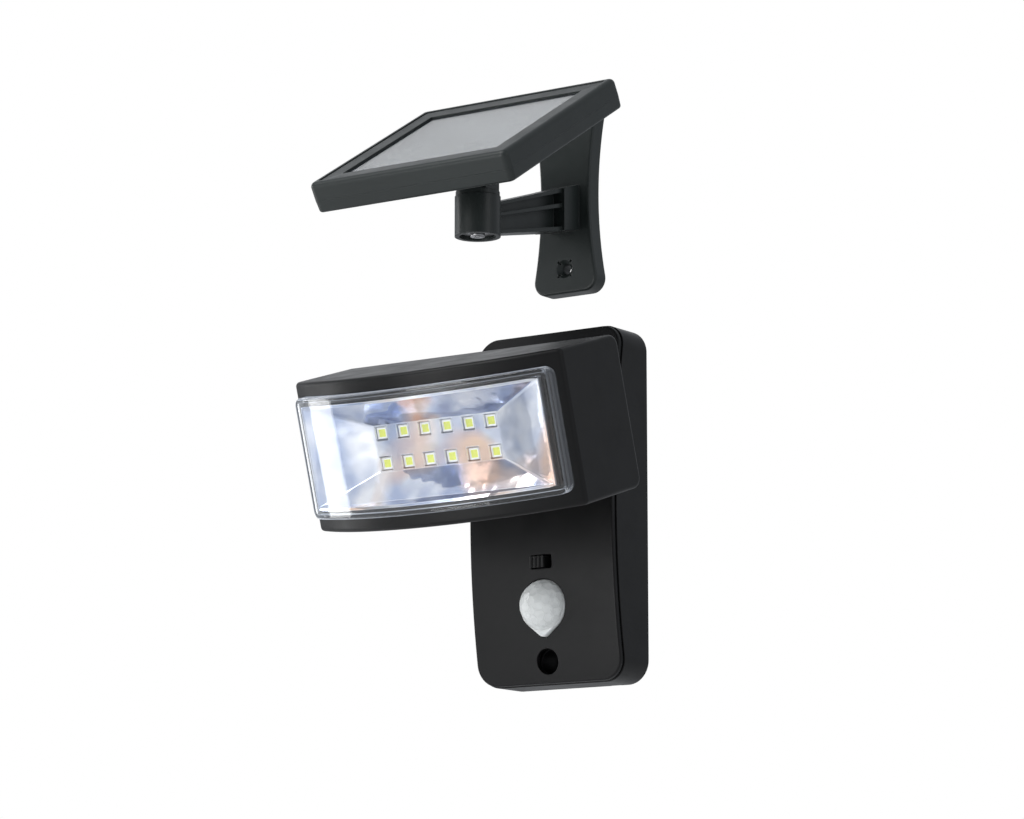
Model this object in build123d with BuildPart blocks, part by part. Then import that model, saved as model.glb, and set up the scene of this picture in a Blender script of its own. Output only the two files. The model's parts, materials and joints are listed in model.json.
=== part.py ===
"""Solar flood light: a wall lamp with a movement sensor, and its solar panel on a separate wall bracket.

Both units hang on one wall. The wall is the plane Y = 0, the units stand out towards -Y, +Z is up.
The origin is the middle of the lamp base's back face.
"""

import os
from math import asin, cos, radians, sin, sqrt, tan

from build123d import *

os.makedirs("parts", exist_ok=True)

# ---- driving dimensions, in millimetres and degrees -------------------------------------------

# clearances
GAP_FIT = 0.25  # between a loose-fitting moulding and the pocket that it drops into
GAP_RUN = 0.05  # radial, between a turning shaft and its bore
GAP_FACE = 0.15  # between two faces that turn or slide past each other

# lamp base
BASE_W = 78.0
BASE_H = 160.0
BASE_CORNER_R = 10.5
BASE_EDGE_DEPTH = 20.5  # wall to front face, at the top and bottom edges
BASE_BOW = 8.0  # further depth at mid-height
HOUSING_WALL = 2.5
COVER_T = 2.2
COVER_INSET = 0.5  # the cover's outline stands in from the housing's
COVER_EDGE_R = 0.8
SEAL_T = 0.7
SEAL_INSET = 0.9
SEAL_W = 1.3
LIP_T = 1.4
LIP_DEPTH = 4.0
PILLAR_R = 3.6
PILLAR_SPLIT_Y = -11.0  # where housing pillars meet the cover's bosses
PILLAR_IN = 8.0  # from the base's outline to each pillar's centre
COVER_SCREW_R = 1.4
COVER_SCREW_HEAD_R = 2.6
SCREW_HEAD_T = 1.8
SCREW_SEAT_DEPTH = 3.0

# wall fixings of the lamp base
FIXING_Z = -69.8
ACCESS_R = 5.75
ACCESS_WALL = 1.5
WALL_SCREW_R = 2.25
KEYHOLE_Z = 52.0
KEYHOLE_R = 4.5
KEYHOLE_RISE = 7.0

# movement sensor
SENSOR_Z = -45.0
DOME_R = 11.6
DOME_RISE = 10.0  # the dome stands out this far from the cover
DOME_WALL = 1.0
DOME_FLANGE_R = 14.0
DOME_FLANGE_T = 1.2
DOME_SEAT_Y = -21.5
DOME_LIP_DROP = 14.0  # from the dome's centre to the tip of its lower lip
DOME_LIP_R = 2.6
CLIP_T = 1.5
CLIP_BORE_R = 9.5
SENSOR_R = 4.6
SENSOR_H = 4.4

# switch
SWITCH_Z = -25.6
SLOT_W = 11.4
SLOT_H = 6.2
KNOB_W = 7.4
KNOB_H = 5.2
KNOB_PROUD = 1.1
SWITCH_TRAVEL = 3.4

# inside the base
BOARD_W = 58.0
BOARD_TOP_Z = -12.0
BOARD_BOTTOM_Z = -58.0
BOARD_T = 1.6
BOARD_Y = -13.0
CELL_R = 7.1
CELL_L = 49.5
CELL_COUNT = 3
CELL_GAP = 0.5
CELL_BOTTOM_Z = 4.0
TRAY_T = 1.6
CABLE_R = 2.2
GROMMET_R = 4.6
GROMMET_X = 22.0
GROMMET_Z = -6.5

# neck between base and head
NECK_Z = 33.4
PAN_Y = -40.5
TILT_Y = -55.5
PAN_BARREL_R = 8.0
PAN_BARREL_H = 14.0
LUG_T = 5.0
TILT_BARREL_R = 6.4
TILT_BARREL_W = 16.0
EAR_T = 4.5
NECK_BOLT_R = 2.5
BOLT_HEAD_R = 4.4
BOLT_HEAD_T = 3.4

# lamp head
HEAD_TILT = 17.3  # front face turned down from upright
HEAD_W = 141.0
HEAD_H = 67.0
HEAD_SIDE = 45.5  # depth of the flat side walls
HEAD_BULGE = 22.0  # the curved front stands out this far from the side walls
HEAD_WALL = 2.5
HEAD_EDGE_R = 2.0
HEAD_FRONT_CORNER_R = 3.2
HEAD_REAR_R = 5.0  # along the long top and bottom edges at the rear
HEAD_INNER_R = 1.0
HEAD_TO_TILT = 8.2  # head's rear face to the tilt axis
REAR_COVER_T = 2.5
REAR_COVER_IN = 1.0
HEAD_BOSS_R = 3.4
HEAD_BOSS_IN = 6.2
LENS_W = 134.0
LENS_H = 54.0
LENS_CORNER_R = 4.0
LENS_PROUD = 4.0
LENS_WALL = 2.0
LENS_EDGE_R = 1.2
LENS_RECESS = 2.0
LENS_SEAL_T = 0.6
APERTURE_W = 125.0
APERTURE_H = 47.2
APERTURE_CORNER_R = 3.0
APERTURE_RIM = 2.2
FRAME_BACK = 3.5  # rear of the block that frames the reflector, rearwards of the head's origin
REFLECTOR_SEAT = -2.5  # flange plane, measured rearwards from the side walls' front edges
REFLECTOR_T = 1.2
RIM_W = 122.0
RIM_H = 44.0
RIM_DEPTH = -7.8  # where the sloped walls end; from there the walls run straight to the lens
RIM_TO_LENS = 0.5
REFLECTOR_FLANGE = 4.0
REFLECTOR_DEPTH = 3.5
PLATE_W = 67.2
PLATE_H = 20.6
PLATE_T = 1.6
LED_SIZE = 5.0
LED_T = 1.2
LED_PITCH = 11.5
LED_ROW_PITCH = 13.4
LED_COLUMNS = 6
LED_POCKET = 6.4
LED_BOARD_W = 74.0
LED_BOARD_H = 27.0
SMALL_SCREW_R = 1.1
SMALL_HEAD_R = 2.1

# solar panel
PANEL_W = 105.0
PANEL_L = 101.0
PANEL_T = 14.0
PANEL_TILT = 31.0  # from level, front edge low
PANEL_Y = -77.0  # the post's axis
PANEL_Z = 139.8  # the panel hinge
PANEL_HINGE_DROP = 9.0  # from the panel's underside to its hinge
PANEL_CORNER_R = 3.0
PANEL_FRAME_T = 7.8
PANEL_TAPER = 4.0  # degrees, side walls lean in towards the back
PANEL_EDGE_R = 1.4
PANEL_RIM_R = 2.4
PANEL_WALL = 2.2
WINDOW_W = 82.5
WINDOW_L = 77.0
LIP_W = 3.4
LIP_RISE = 0.4
GLASS_T = 1.6
GLASS_LAP = 2.4
WINDOW_SINK = 1.1
WINDOW_SLOPE_W = 6.0  # the shallow slope round the window
WINDOW_SLOPE_T = 0.3
RIM_GROOVE = 0.6  # fine groove inside the rim, as wide as it is deep
CELL_BOARD_T = 1.4
PANEL_SEAL_T = 0.8
PANEL_BOSS_R = 3.2
PANEL_BOSS_IN = 6.4
PANEL_LUG_W = 6.0
PANEL_LUG_R = 4.8
FOOT_W = 34.0
FOOT_L = 22.0
FOOT_T = 2.0
FOOT_SCREW_IN = 4.0
PANEL_GROMMET_Y = 30.0

# panel bracket
PLATE_BOTTOM_Z = 100.0
PLATE_TOP_Z = 190.0
PLATE_FLARE_W = 37.0
PLATE_WAIST_W = 27.0
BRACKET_PLATE_T = 8.0
BRACKET_CORNER_R = 6.5
BRACKET_WALL = 2.5
BRACKET_SCREW_IN = 11.5
BRACKET_SCREW_R = 2.25
BRACKET_SINK_R = 4.4
ARM_BOTTOM_Z = 116.3  # at the barrel
ARM_SLOPE = 12.0
ARM_H_BARREL = 13.5
ARM_H_WALL = 22.0
ARM_FLANGE_W = 13.0
ARM_WEB_T = 4.0
ARM_RIB_T = 2.2
ARM_ROOT_W = 16.0
ARM_ROOT_L = 12.0
BARREL_R = 10.2
BARREL_BOTTOM_Z = 113.5
BARREL_TOP_Z = 131.5
POST_R = 5.4
WASHER_R = 7.6
WASHER_T = 1.6
WASHER_POCKET = 3.4
POST_DISC_R = 9.8
POST_DISC_T = 2.0
POST_EAR_T = 4.8
POST_EAR_R = 5.2
PANEL_BOLT_R = 2.0
PANEL_BOLT_HEAD_R = 3.6
PANEL_BOLT_HEAD_T = 2.6

# ---- values worked out from them --------------------------------------------------------------

COVER_EDGE_DEPTH = BASE_EDGE_DEPTH - COVER_T
HOUSING_EDGE_DEPTH = COVER_EDGE_DEPTH - SEAL_T
BOW_RADIUS = ((BASE_H / 2) ** 2 + BASE_BOW**2) / (2 * BASE_BOW)

TILT = radians(HEAD_TILT)
HEAD_REAR_DIR = Vector(0, cos(TILT), sin(TILT))
HEAD_UP_DIR = Vector(0, -sin(TILT), cos(TILT))
TILT_POINT = Vector(0, TILT_Y, NECK_Z)
HEAD_ORIGIN = TILT_POINT - HEAD_REAR_DIR * (HEAD_SIDE + HEAD_TO_TILT)
FRONT_R = ((HEAD_W / 2) ** 2 + HEAD_BULGE**2) / (2 * HEAD_BULGE)
FRONT_CENTRE = FRONT_R - HEAD_BULGE  # the front curve's centre, rearwards of the head's origin
PLATE_FRONT = REFLECTOR_SEAT + REFLECTOR_DEPTH
LED_BOARD_FRONT = PLATE_FRONT + PLATE_T
LENS_SEAT_R = FRONT_R - LENS_RECESS + LENS_SEAL_T
LENS_OUTER_R = FRONT_R + LENS_PROUD

SLANT = radians(PANEL_TILT)
PANEL_BACK_DIR = Vector(0, cos(SLANT), sin(SLANT))
PANEL_UP_DIR = Vector(0, -sin(SLANT), cos(SLANT))
PANEL_HINGE = Vector(0, PANEL_Y, PANEL_Z)
PANEL_CENTRE = PANEL_HINGE + PANEL_UP_DIR * (PANEL_HINGE_DROP + PANEL_T)
PANEL_SEAM = -(LIP_RISE + PANEL_FRAME_T)
GLASS_TOP = -(LIP_RISE + WINDOW_SINK)


def base_face_y(z, edge_depth=BASE_EDGE_DEPTH):
    """Y of the bowed front at height z, for a face that stands edge_depth out at its ends."""
    return -(edge_depth + BASE_BOW - BOW_RADIUS + sqrt(BOW_RADIUS**2 - z**2))


def bow_profile(edge_depth):
    """Side view of the base: wall plane to a bowed front that stands edge_depth out at its ends."""
    half = BASE_H / 2
    with BuildSketch(Plane.YZ) as profile:
        with BuildLine():
            Polyline((-edge_depth, -half), (0, -half), (0, half), (-edge_depth, half))
            ThreePointArc((-edge_depth, half), (-edge_depth - BASE_BOW, 0), (-edge_depth, -half))
        make_face()
    return profile.sketch


def base_outline(inset, back_y=0.0):
    """The base's rounded outline, moved in by inset, on a plane parallel to the wall."""
    with BuildSketch(Plane.XZ.offset(-back_y)) as outline:
        RectangleRounded(BASE_W - 2 * inset, BASE_H - 2 * inset, BASE_CORNER_R - inset)
    return outline.sketch


def discs(radius, back_y, points):
    """Circles on a plane parallel to the wall, at (x, z) points."""
    with BuildSketch(Plane.XZ.offset(-back_y)) as spots:
        with Locations(*points):
            Circle(radius)
    return spots.sketch


def block(x_span, y_span, z_span):
    """A plain rectangle on the XY plane at the bottom of z_span, to be raised to its top."""
    with BuildSketch(Plane.XY.offset(z_span[0])) as plan:
        with Locations(((x_span[0] + x_span[1]) / 2, (y_span[0] + y_span[1]) / 2)):
            Rectangle(x_span[1] - x_span[0], y_span[1] - y_span[0])
    return plan.sketch


def add_block(x_span, y_span, z_span, mode=Mode.ADD):
    """Adds or cuts a box given by its spans along X, Y and Z."""
    extrude(block(x_span, y_span, z_span), amount=z_span[1] - z_span[0], mode=mode)


def head_plan(height=0.0):
    """Plane seen from above the head: x to the right, y rearwards, at a height above its middle."""
    return Plane(HEAD_ORIGIN + HEAD_UP_DIR * height, x_dir=(1, 0, 0), z_dir=HEAD_UP_DIR)


def head_face(depth=0.0):
    """Plane seen from the front of the head: x to the right, y up, a depth behind its origin."""
    return Plane(HEAD_ORIGIN + HEAD_REAR_DIR * depth, x_dir=(1, 0, 0), z_dir=-HEAD_REAR_DIR)


def panel_face(rise=0.0):
    """Plane parallel to the panel: x to the right, y towards its high edge, rise above its top."""
    return Plane(PANEL_CENTRE + PANEL_UP_DIR * rise, x_dir=(1, 0, 0), z_dir=PANEL_UP_DIR)


def rounded(plane, width, height, radius):
    """A rounded rectangle centred on a plane."""
    with BuildSketch(plane) as outline:
        RectangleRounded(width, height, radius)
    return outline.sketch


def spots(plane, radius, points):
    """Circles at points on a plane."""
    with BuildSketch(plane) as circles:
        with Locations(*points):
            Circle(radius)
    return circles.sketch


def corners(half_x, half_y):
    """The four corners of a rectangle about the origin."""
    return [(sx * half_x, sy * half_y) for sx in (-1, 1) for sy in (-1, 1)]


def front_band(outer_r, inner_r, height):
    """Plan of the band between two radii of the head's front curve, on the bottom of a height."""
    with BuildSketch(head_plan(-height / 2)) as band:
        with Locations((0, FRONT_CENTRE)):
            Circle(outer_r)
            if inner_r > 0:
                Circle(inner_r, mode=Mode.SUBTRACT)
        with Locations((0, FRONT_CENTRE - FRONT_R)):
            Rectangle(HEAD_W, FRONT_R, mode=Mode.INTERSECT)
    return band.sketch


def bolt(name_plane, shank_r, shank_l, head_r, head_t):
    """A pan-head bolt: its head stands on the plane, its shank goes the other way."""
    extrude(spots(name_plane, head_r, [(0, 0)]), amount=head_t)
    extrude(spots(name_plane, shank_r, [(0, 0)]), amount=-shank_l)


# ---- lamp base --------------------------------------------------------------------------------

PILLARS = corners(BASE_W / 2 - PILLAR_IN, BASE_H / 2 - PILLAR_IN)
FIXING = [(0, FIXING_Z)]

with BuildPart() as rear_housing:
    extrude(base_outline(0), amount=BASE_EDGE_DEPTH + BASE_BOW)
    extrude(bow_profile(HOUSING_EDGE_DEPTH), amount=BASE_W, both=True, mode=Mode.INTERSECT)
    extrude(base_outline(HOUSING_WALL, -HOUSING_WALL), amount=BASE_W, mode=Mode.SUBTRACT)
    # pillars for the cover's screws
    extrude(discs(PILLAR_R, -HOUSING_WALL / 2, PILLARS), amount=-PILLAR_SPLIT_Y - HOUSING_WALL / 2)
    extrude(discs(COVER_SCREW_R + 0.2, 0, PILLARS), amount=-PILLAR_SPLIT_Y, mode=Mode.SUBTRACT)
    extrude(discs(COVER_SCREW_HEAD_R + 0.2, 0, PILLARS), amount=SCREW_SEAT_DEPTH, mode=Mode.SUBTRACT)
    # the tube that leads a screwdriver to the lower wall screw
    tube_foot_z = FIXING_Z - ACCESS_R - ACCESS_WALL
    tube_l = -base_face_y(tube_foot_z, COVER_EDGE_DEPTH) - HOUSING_WALL - 2 * GAP_FIT
    extrude(discs(ACCESS_R + ACCESS_WALL, -HOUSING_WALL, FIXING), amount=tube_l)
    extrude(discs(ACCESS_R, -HOUSING_WALL, FIXING), amount=tube_l, mode=Mode.SUBTRACT)
    extrude(discs(WALL_SCREW_R, 0, FIXING), amount=HOUSING_WALL, mode=Mode.SUBTRACT)
    # the keyhole that hangs on the upper wall screw
    with BuildSketch(Plane.XZ):
        with Locations((0, KEYHOLE_Z)):
            Circle(KEYHOLE_R)
        with Locations((0, KEYHOLE_Z + KEYHOLE_RISE / 2)):
            SlotCenterToCenter(KEYHOLE_RISE, 2 * WALL_SCREW_R, rotation=90)
    extrude(amount=HOUSING_WALL, mode=Mode.SUBTRACT)
    # the panel cable's way in
    extrude(discs(GROMMET_R, 0, [(GROMMET_X, GROMMET_Z)]), amount=HOUSING_WALL, mode=Mode.SUBTRACT)
    with BuildSketch(Plane.XZ):
        groove_l = BASE_H / 2 + GROMMET_Z
        with Locations((GROMMET_X, GROMMET_Z - groove_l / 2)):
            Rectangle(2 * CABLE_R + 1, groove_l)
    extrude(amount=0.6, mode=Mode.SUBTRACT)
rear_housing.part.label = "rear_housing"
export_step(rear_housing.part, "parts/rear_housing.step")

with BuildPart() as cover_seal:
    extrude(base_outline(SEAL_INSET), amount=BASE_EDGE_DEPTH + BASE_BOW)
    extrude(base_outline(SEAL_INSET + SEAL_W), amount=BASE_EDGE_DEPTH + BASE_BOW, mode=Mode.SUBTRACT)
    extrude(bow_profile(COVER_EDGE_DEPTH), amount=BASE_W, both=True, mode=Mode.INTERSECT)
    extrude(bow_profile(HOUSING_EDGE_DEPTH), amount=BASE_W, both=True, mode=Mode.SUBTRACT)
cover_seal.part.label = "cover_seal"
export_step(cover_seal.part, "parts/cover_seal.step")


def dome_outline(plane, grow):
    """Drop-shaped outline of the sensor's window: a circle drawn down into a small lip."""
    big, small = DOME_R + grow, DOME_LIP_R + grow
    drop = DOME_LIP_DROP - DOME_LIP_R
    lean = asin((big - small) / drop)
    flank_in = (big * cos(lean), SENSOR_Z - big * sin(lean))
    flank_out = (small * cos(lean), SENSOR_Z - drop - small * sin(lean))
    with BuildSketch(plane) as outline:
        with Locations((0, SENSOR_Z)):
            Circle(big)
        with Locations((0, SENSOR_Z - drop)):
            Circle(small)
        with BuildLine():
            Polyline(
                flank_in, flank_out, (-flank_out[0], flank_out[1]), (-flank_in[0], flank_in[1]), close=True
            )
        make_face()
    return outline.sketch


lug_end_y = PAN_Y
upper_lug_z = NECK_Z + PAN_BARREL_H / 2 + GAP_FACE
lower_lug_z = NECK_Z - PAN_BARREL_H / 2 - GAP_FACE - LUG_T

with BuildPart() as front_cover:
    extrude(base_outline(COVER_INSET), amount=BASE_EDGE_DEPTH + BASE_BOW)
    extrude(bow_profile(BASE_EDGE_DEPTH), amount=BASE_W, both=True, mode=Mode.INTERSECT)
    front_edges = front_cover.faces().sort_by(Axis.Y)[0].edges()
    fillet(front_edges, COVER_EDGE_R)
    extrude(bow_profile(COVER_EDGE_DEPTH), amount=BASE_W, both=True, mode=Mode.SUBTRACT)
    # the lip that locates the cover inside the housing's walls
    lip_in = HOUSING_WALL + GAP_FIT
    lip_edge = COVER_EDGE_DEPTH - LIP_DEPTH
    with BuildPart(mode=Mode.PRIVATE) as lip:
        extrude(base_outline(lip_in), amount=BASE_EDGE_DEPTH + BASE_BOW)
        extrude(base_outline(lip_in + LIP_T), amount=BASE_EDGE_DEPTH + BASE_BOW, mode=Mode.SUBTRACT)
        extrude(bow_profile(COVER_EDGE_DEPTH), amount=BASE_W, both=True, mode=Mode.INTERSECT)
        extrude(bow_profile(lip_edge), amount=BASE_W, both=True, mode=Mode.SUBTRACT)
        notch = [(0, FIXING_Z)]
        extrude(discs(ACCESS_R + ACCESS_WALL + GAP_FIT, 0, notch), amount=BASE_W, mode=Mode.SUBTRACT)
    add(lip.part)
    # bosses that take the screws from behind, and the seat for the sensor's dome
    with BuildPart(mode=Mode.PRIVATE) as bosses:
        extrude(discs(PILLAR_R, PILLAR_SPLIT_Y, PILLARS), amount=BASE_EDGE_DEPTH)
        extrude(discs(COVER_SCREW_R, PILLAR_SPLIT_Y, PILLARS), amount=7.5, mode=Mode.SUBTRACT)
        extrude(discs(DOME_FLANGE_R + 1.0, DOME_SEAT_Y, [(0, SENSOR_Z)]), amount=BASE_EDGE_DEPTH)
        extrude(bow_profile(COVER_EDGE_DEPTH + COVER_T / 2), amount=BASE_W, both=True, mode=Mode.INTERSECT)
    add(bosses.part)
    extrude(dome_outline(Plane.XZ, GAP_FIT), amount=BASE_W, mode=Mode.SUBTRACT)
    extrude(discs(ACCESS_R, 0, FIXING), amount=BASE_W, mode=Mode.SUBTRACT)
    # the switch's slot
    with BuildSketch(Plane.XZ):
        with Locations((0, SWITCH_Z)):
            RectangleRounded(SLOT_W, SLOT_H, 1.0)
    extrude(amount=BASE_W, mode=Mode.SUBTRACT)
    # lugs that hold the neck's upright pin
    root_y = base_face_y(NECK_Z) + COVER_T / 2
    for lug_z in (lower_lug_z, upper_lug_z):
        add_block((-PAN_BARREL_R, PAN_BARREL_R), (lug_end_y, root_y), (lug_z, lug_z + LUG_T))
        with BuildSketch(Plane.XY.offset(lug_z)):
            with Locations((0, PAN_Y)):
                Circle(PAN_BARREL_R)
        extrude(amount=LUG_T)
        with BuildSketch(Plane.XY.offset(lug_z)):
            with Locations((0, PAN_Y)):
                Circle(NECK_BOLT_R + GAP_RUN)
        extrude(amount=LUG_T, mode=Mode.SUBTRACT)
front_cover.part.label = "front_cover"
export_step(front_cover.part, "parts/front_cover.step")

with BuildPart() as cover_screws:
    for x, z in PILLARS:
        seat = Plane(origin=(x, -SCREW_SEAT_DEPTH, z), x_dir=(1, 0, 0), z_dir=(0, 1, 0))
        bolt(seat, COVER_SCREW_R, -PILLAR_SPLIT_Y + 6.0 - SCREW_SEAT_DEPTH, COVER_SCREW_HEAD_R, SCREW_HEAD_T)
cover_screws.part.label = "cover_screws"
export_step(cover_screws.part, "parts/cover_screws.step")

with BuildPart() as cable_grommet:
    extrude(discs(GROMMET_R, 0, [(GROMMET_X, GROMMET_Z)]), amount=HOUSING_WALL)
    extrude(discs(GROMMET_R + 1.2, -HOUSING_WALL, [(GROMMET_X, GROMMET_Z)]), amount=1.2)
    extrude(discs(CABLE_R, 0, [(GROMMET_X, GROMMET_Z)]), amount=BASE_EDGE_DEPTH, mode=Mode.SUBTRACT)
cable_grommet.part.label = "cable_grommet"
export_step(cable_grommet.part, "parts/cable_grommet.step")

# ---- movement sensor and switch ---------------------------------------------------------------

dome_front_y = base_face_y(SENSOR_Z) - DOME_RISE
dome_skirt_y = base_face_y(SENSOR_Z) - 0.8

with BuildPart() as sensor_dome:
    extrude(discs(DOME_FLANGE_R, DOME_SEAT_Y + DOME_FLANGE_T, [(0, SENSOR_Z)]), amount=DOME_FLANGE_T)
    extrude(dome_outline(Plane.XZ.offset(-DOME_SEAT_Y), 0), amount=DOME_SEAT_Y - dome_skirt_y)
    lip_face = sensor_dome.faces().sort_by(Axis.Y)[0]
    fillet(lip_face.edges(), 0.7)
    with BuildSketch(Plane(origin=(0, 0, SENSOR_Z), x_dir=(1, 0, 0), z_dir=(0, 0, 1))):
        with BuildLine():
            dome_foot_y = dome_skirt_y + 1
            Polyline((0, dome_front_y), (0, dome_foot_y), (DOME_R, dome_foot_y), (DOME_R, dome_skirt_y))
            TangentArc((0, dome_front_y), (DOME_R, dome_skirt_y), tangent=(1, 0))
        make_face()
    revolve(axis=Axis((0, 0, SENSOR_Z), (0, 1, 0)))
    # hollow behind
    with BuildSketch(Plane(origin=(0, 0, SENSOR_Z), x_dir=(1, 0, 0), z_dir=(0, 0, 1))):
        with BuildLine():
            hollow_r = DOME_R - DOME_WALL
            hollow_y = DOME_SEAT_Y + DOME_FLANGE_T
            inner_front_y = dome_front_y + DOME_WALL
            Polyline((0, inner_front_y), (0, hollow_y), (hollow_r, hollow_y), (hollow_r, dome_skirt_y))
            TangentArc((0, inner_front_y), (hollow_r, dome_skirt_y), tangent=(1, 0))
        make_face()
    revolve(axis=Axis((0, 0, SENSOR_Z), (0, 1, 0)), mode=Mode.SUBTRACT)
sensor_dome.part.label = "sensor_dome"
export_step(sensor_dome.part, "parts/sensor_dome.step")

clip_y = DOME_SEAT_Y + DOME_FLANGE_T + CLIP_T
with BuildPart() as dome_clip:
    extrude(discs(DOME_FLANGE_R, clip_y, [(0, SENSOR_Z)]), amount=CLIP_T)
    extrude(discs(CLIP_BORE_R, clip_y, [(0, SENSOR_Z)]), amount=CLIP_T, mode=Mode.SUBTRACT)
dome_clip.part.label = "dome_clip"
export_step(dome_clip.part, "parts/dome_clip.step")

board_front_y = BOARD_Y - BOARD_T
with BuildPart() as control_board:
    half_board = BOARD_W / 2
    add_block((-half_board, half_board), (board_front_y, BOARD_Y), (BOARD_BOTTOM_Z, BOARD_TOP_Z))
    # capacitors and a connector on the back, a chip on the front
    for x in (-20, -10):
        with BuildSketch(Plane.XZ.offset(-BOARD_Y)):
            with Locations((x, BOARD_BOTTOM_Z + 12)):
                Circle(3.0)
        extrude(amount=-7.0)
    add_block((10, 24), (BOARD_Y, BOARD_Y + 6), (BOARD_TOP_Z - 12, BOARD_TOP_Z - 4))
    add_block((-24, -14), (board_front_y - 1.4, board_front_y), (BOARD_TOP_Z - 14, BOARD_TOP_Z - 6))
control_board.part.label = "control_board"
export_step(control_board.part, "parts/control_board.step")

with BuildPart() as motion_sensor:
    extrude(discs(SENSOR_R + 0.5, board_front_y, [(0, SENSOR_Z)]), amount=0.5)
    extrude(discs(SENSOR_R, board_front_y, [(0, SENSOR_Z)]), amount=SENSOR_H)
motion_sensor.part.label = "motion_sensor"
export_step(motion_sensor.part, "parts/motion_sensor.step")

knob_x = -(SLOT_W / 2 - GAP_FIT - KNOB_W / 2)
knob_front_y = base_face_y(SWITCH_Z) - KNOB_PROUD
switch_front_y = board_front_y - 5.5
with BuildPart() as switch_body:
    add_block((-7, 7), (switch_front_y, board_front_y), (SWITCH_Z - 3.6, SWITCH_Z + 3.6))
    stem_gap = 1.5 + GAP_FACE
    add_block(
        (knob_x - stem_gap, knob_x + SWITCH_TRAVEL + stem_gap),
        (switch_front_y, switch_front_y + 2.0),
        (SWITCH_Z - stem_gap, SWITCH_Z + stem_gap),
        mode=Mode.SUBTRACT,
    )
switch_body.part.label = "switch_body"
export_step(switch_body.part, "parts/switch_body.step")

with BuildPart() as switch_knob:
    half_w, half_h = KNOB_W / 2, KNOB_H / 2
    slider_y = switch_front_y - GAP_FACE
    z_span = (SWITCH_Z - half_h, SWITCH_Z + half_h)
    add_block((knob_x - half_w, knob_x + half_w), (knob_front_y, slider_y), z_span)
    # three finger ridges
    for step in (-1, 0, 1):
        x = knob_x + step * 2.1
        add_block((x - 0.35, x + 0.35), (knob_front_y, knob_front_y + 0.5), z_span, mode=Mode.SUBTRACT)
    stem_z = (SWITCH_Z - 1.5, SWITCH_Z + 1.5)
    add_block((knob_x - 1.5, knob_x + 1.5), (slider_y, switch_front_y + 1.8), stem_z)
switch_knob.part.label = "switch_knob"
export_step(switch_knob.part, "parts/switch_knob.step")

# ---- battery ----------------------------------------------------------------------------------

cell_y = -(HOUSING_WALL + TRAY_T + CELL_R)
cell_pitch = 2 * CELL_R + CELL_GAP
cell_xs = [(i - (CELL_COUNT - 1) / 2) * cell_pitch for i in range(CELL_COUNT)]
with BuildPart() as battery_cells:
    for x in cell_xs:
        with BuildSketch(Plane.XY.offset(CELL_BOTTOM_Z)):
            with Locations((x, cell_y)):
                Circle(CELL_R)
        extrude(amount=CELL_L)
        with BuildSketch(Plane.XY.offset(CELL_BOTTOM_Z + CELL_L)):
            with Locations((x, cell_y)):
                Circle(2.6)
        extrude(amount=1.0)
battery_cells.part.label = "battery_cells"
export_step(battery_cells.part, "parts/battery_cells.step")

with BuildPart() as battery_tray:
    tray_half = cell_pitch * CELL_COUNT / 2 + TRAY_T
    tray_z = (CELL_BOTTOM_Z - TRAY_T - 0.6, CELL_BOTTOM_Z + CELL_L + 1.6 + TRAY_T)
    add_block((-tray_half, tray_half), (cell_y, -HOUSING_WALL), tray_z)
    inner_half = tray_half - TRAY_T
    inner_z = (tray_z[0] + TRAY_T, tray_z[1] - TRAY_T)
    add_block((-inner_half, inner_half), (cell_y, -HOUSING_WALL - TRAY_T), inner_z, mode=Mode.SUBTRACT)
battery_tray.part.label = "battery_tray"
export_step(battery_tray.part, "parts/battery_tray.step")

# ---- neck -------------------------------------------------------------------------------------

with BuildPart() as neck:
    with BuildSketch(Plane.XY.offset(NECK_Z - PAN_BARREL_H / 2)):
        with Locations((0, PAN_Y)):
            Circle(PAN_BARREL_R)
    extrude(amount=PAN_BARREL_H)
    half_w = TILT_BARREL_W / 2
    web_half = TILT_BARREL_R - 0.4
    add_block((-half_w, half_w), (TILT_Y, PAN_Y), (NECK_Z - web_half, NECK_Z + web_half))
    with BuildSketch(Plane.YZ):
        with Locations((TILT_Y, NECK_Z)):
            Circle(TILT_BARREL_R)
    extrude(amount=half_w, both=True)
    with BuildSketch(Plane.XY.offset(NECK_Z - PAN_BARREL_H)):
        with Locations((0, PAN_Y)):
            Circle(NECK_BOLT_R + GAP_RUN)
    extrude(amount=2 * PAN_BARREL_H, mode=Mode.SUBTRACT)
    with BuildSketch(Plane.YZ):
        with Locations((TILT_Y, NECK_Z)):
            Circle(NECK_BOLT_R + GAP_RUN)
    extrude(amount=2 * half_w, both=True, mode=Mode.SUBTRACT)
neck.part.label = "neck"
export_step(neck.part, "parts/neck.step")

pin_top_z = upper_lug_z + LUG_T
pin_bottom_z = lower_lug_z
with BuildPart() as swivel_pin:
    pin_l = pin_top_z - pin_bottom_z + BOLT_HEAD_T
    bolt(Plane((0, PAN_Y, pin_top_z)), NECK_BOLT_R, pin_l, BOLT_HEAD_R, BOLT_HEAD_T)
swivel_pin.part.label = "swivel_pin"
export_step(swivel_pin.part, "parts/swivel_pin.step")

with BuildPart() as swivel_nut:
    with BuildSketch(Plane.XY.offset(pin_bottom_z)):
        with Locations((0, PAN_Y)):
            RegularPolygon(BOLT_HEAD_R, 6)
            Circle(NECK_BOLT_R, mode=Mode.SUBTRACT)
    extrude(amount=-BOLT_HEAD_T)
swivel_nut.part.label = "swivel_nut"
export_step(swivel_nut.part, "parts/swivel_nut.step")

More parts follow.
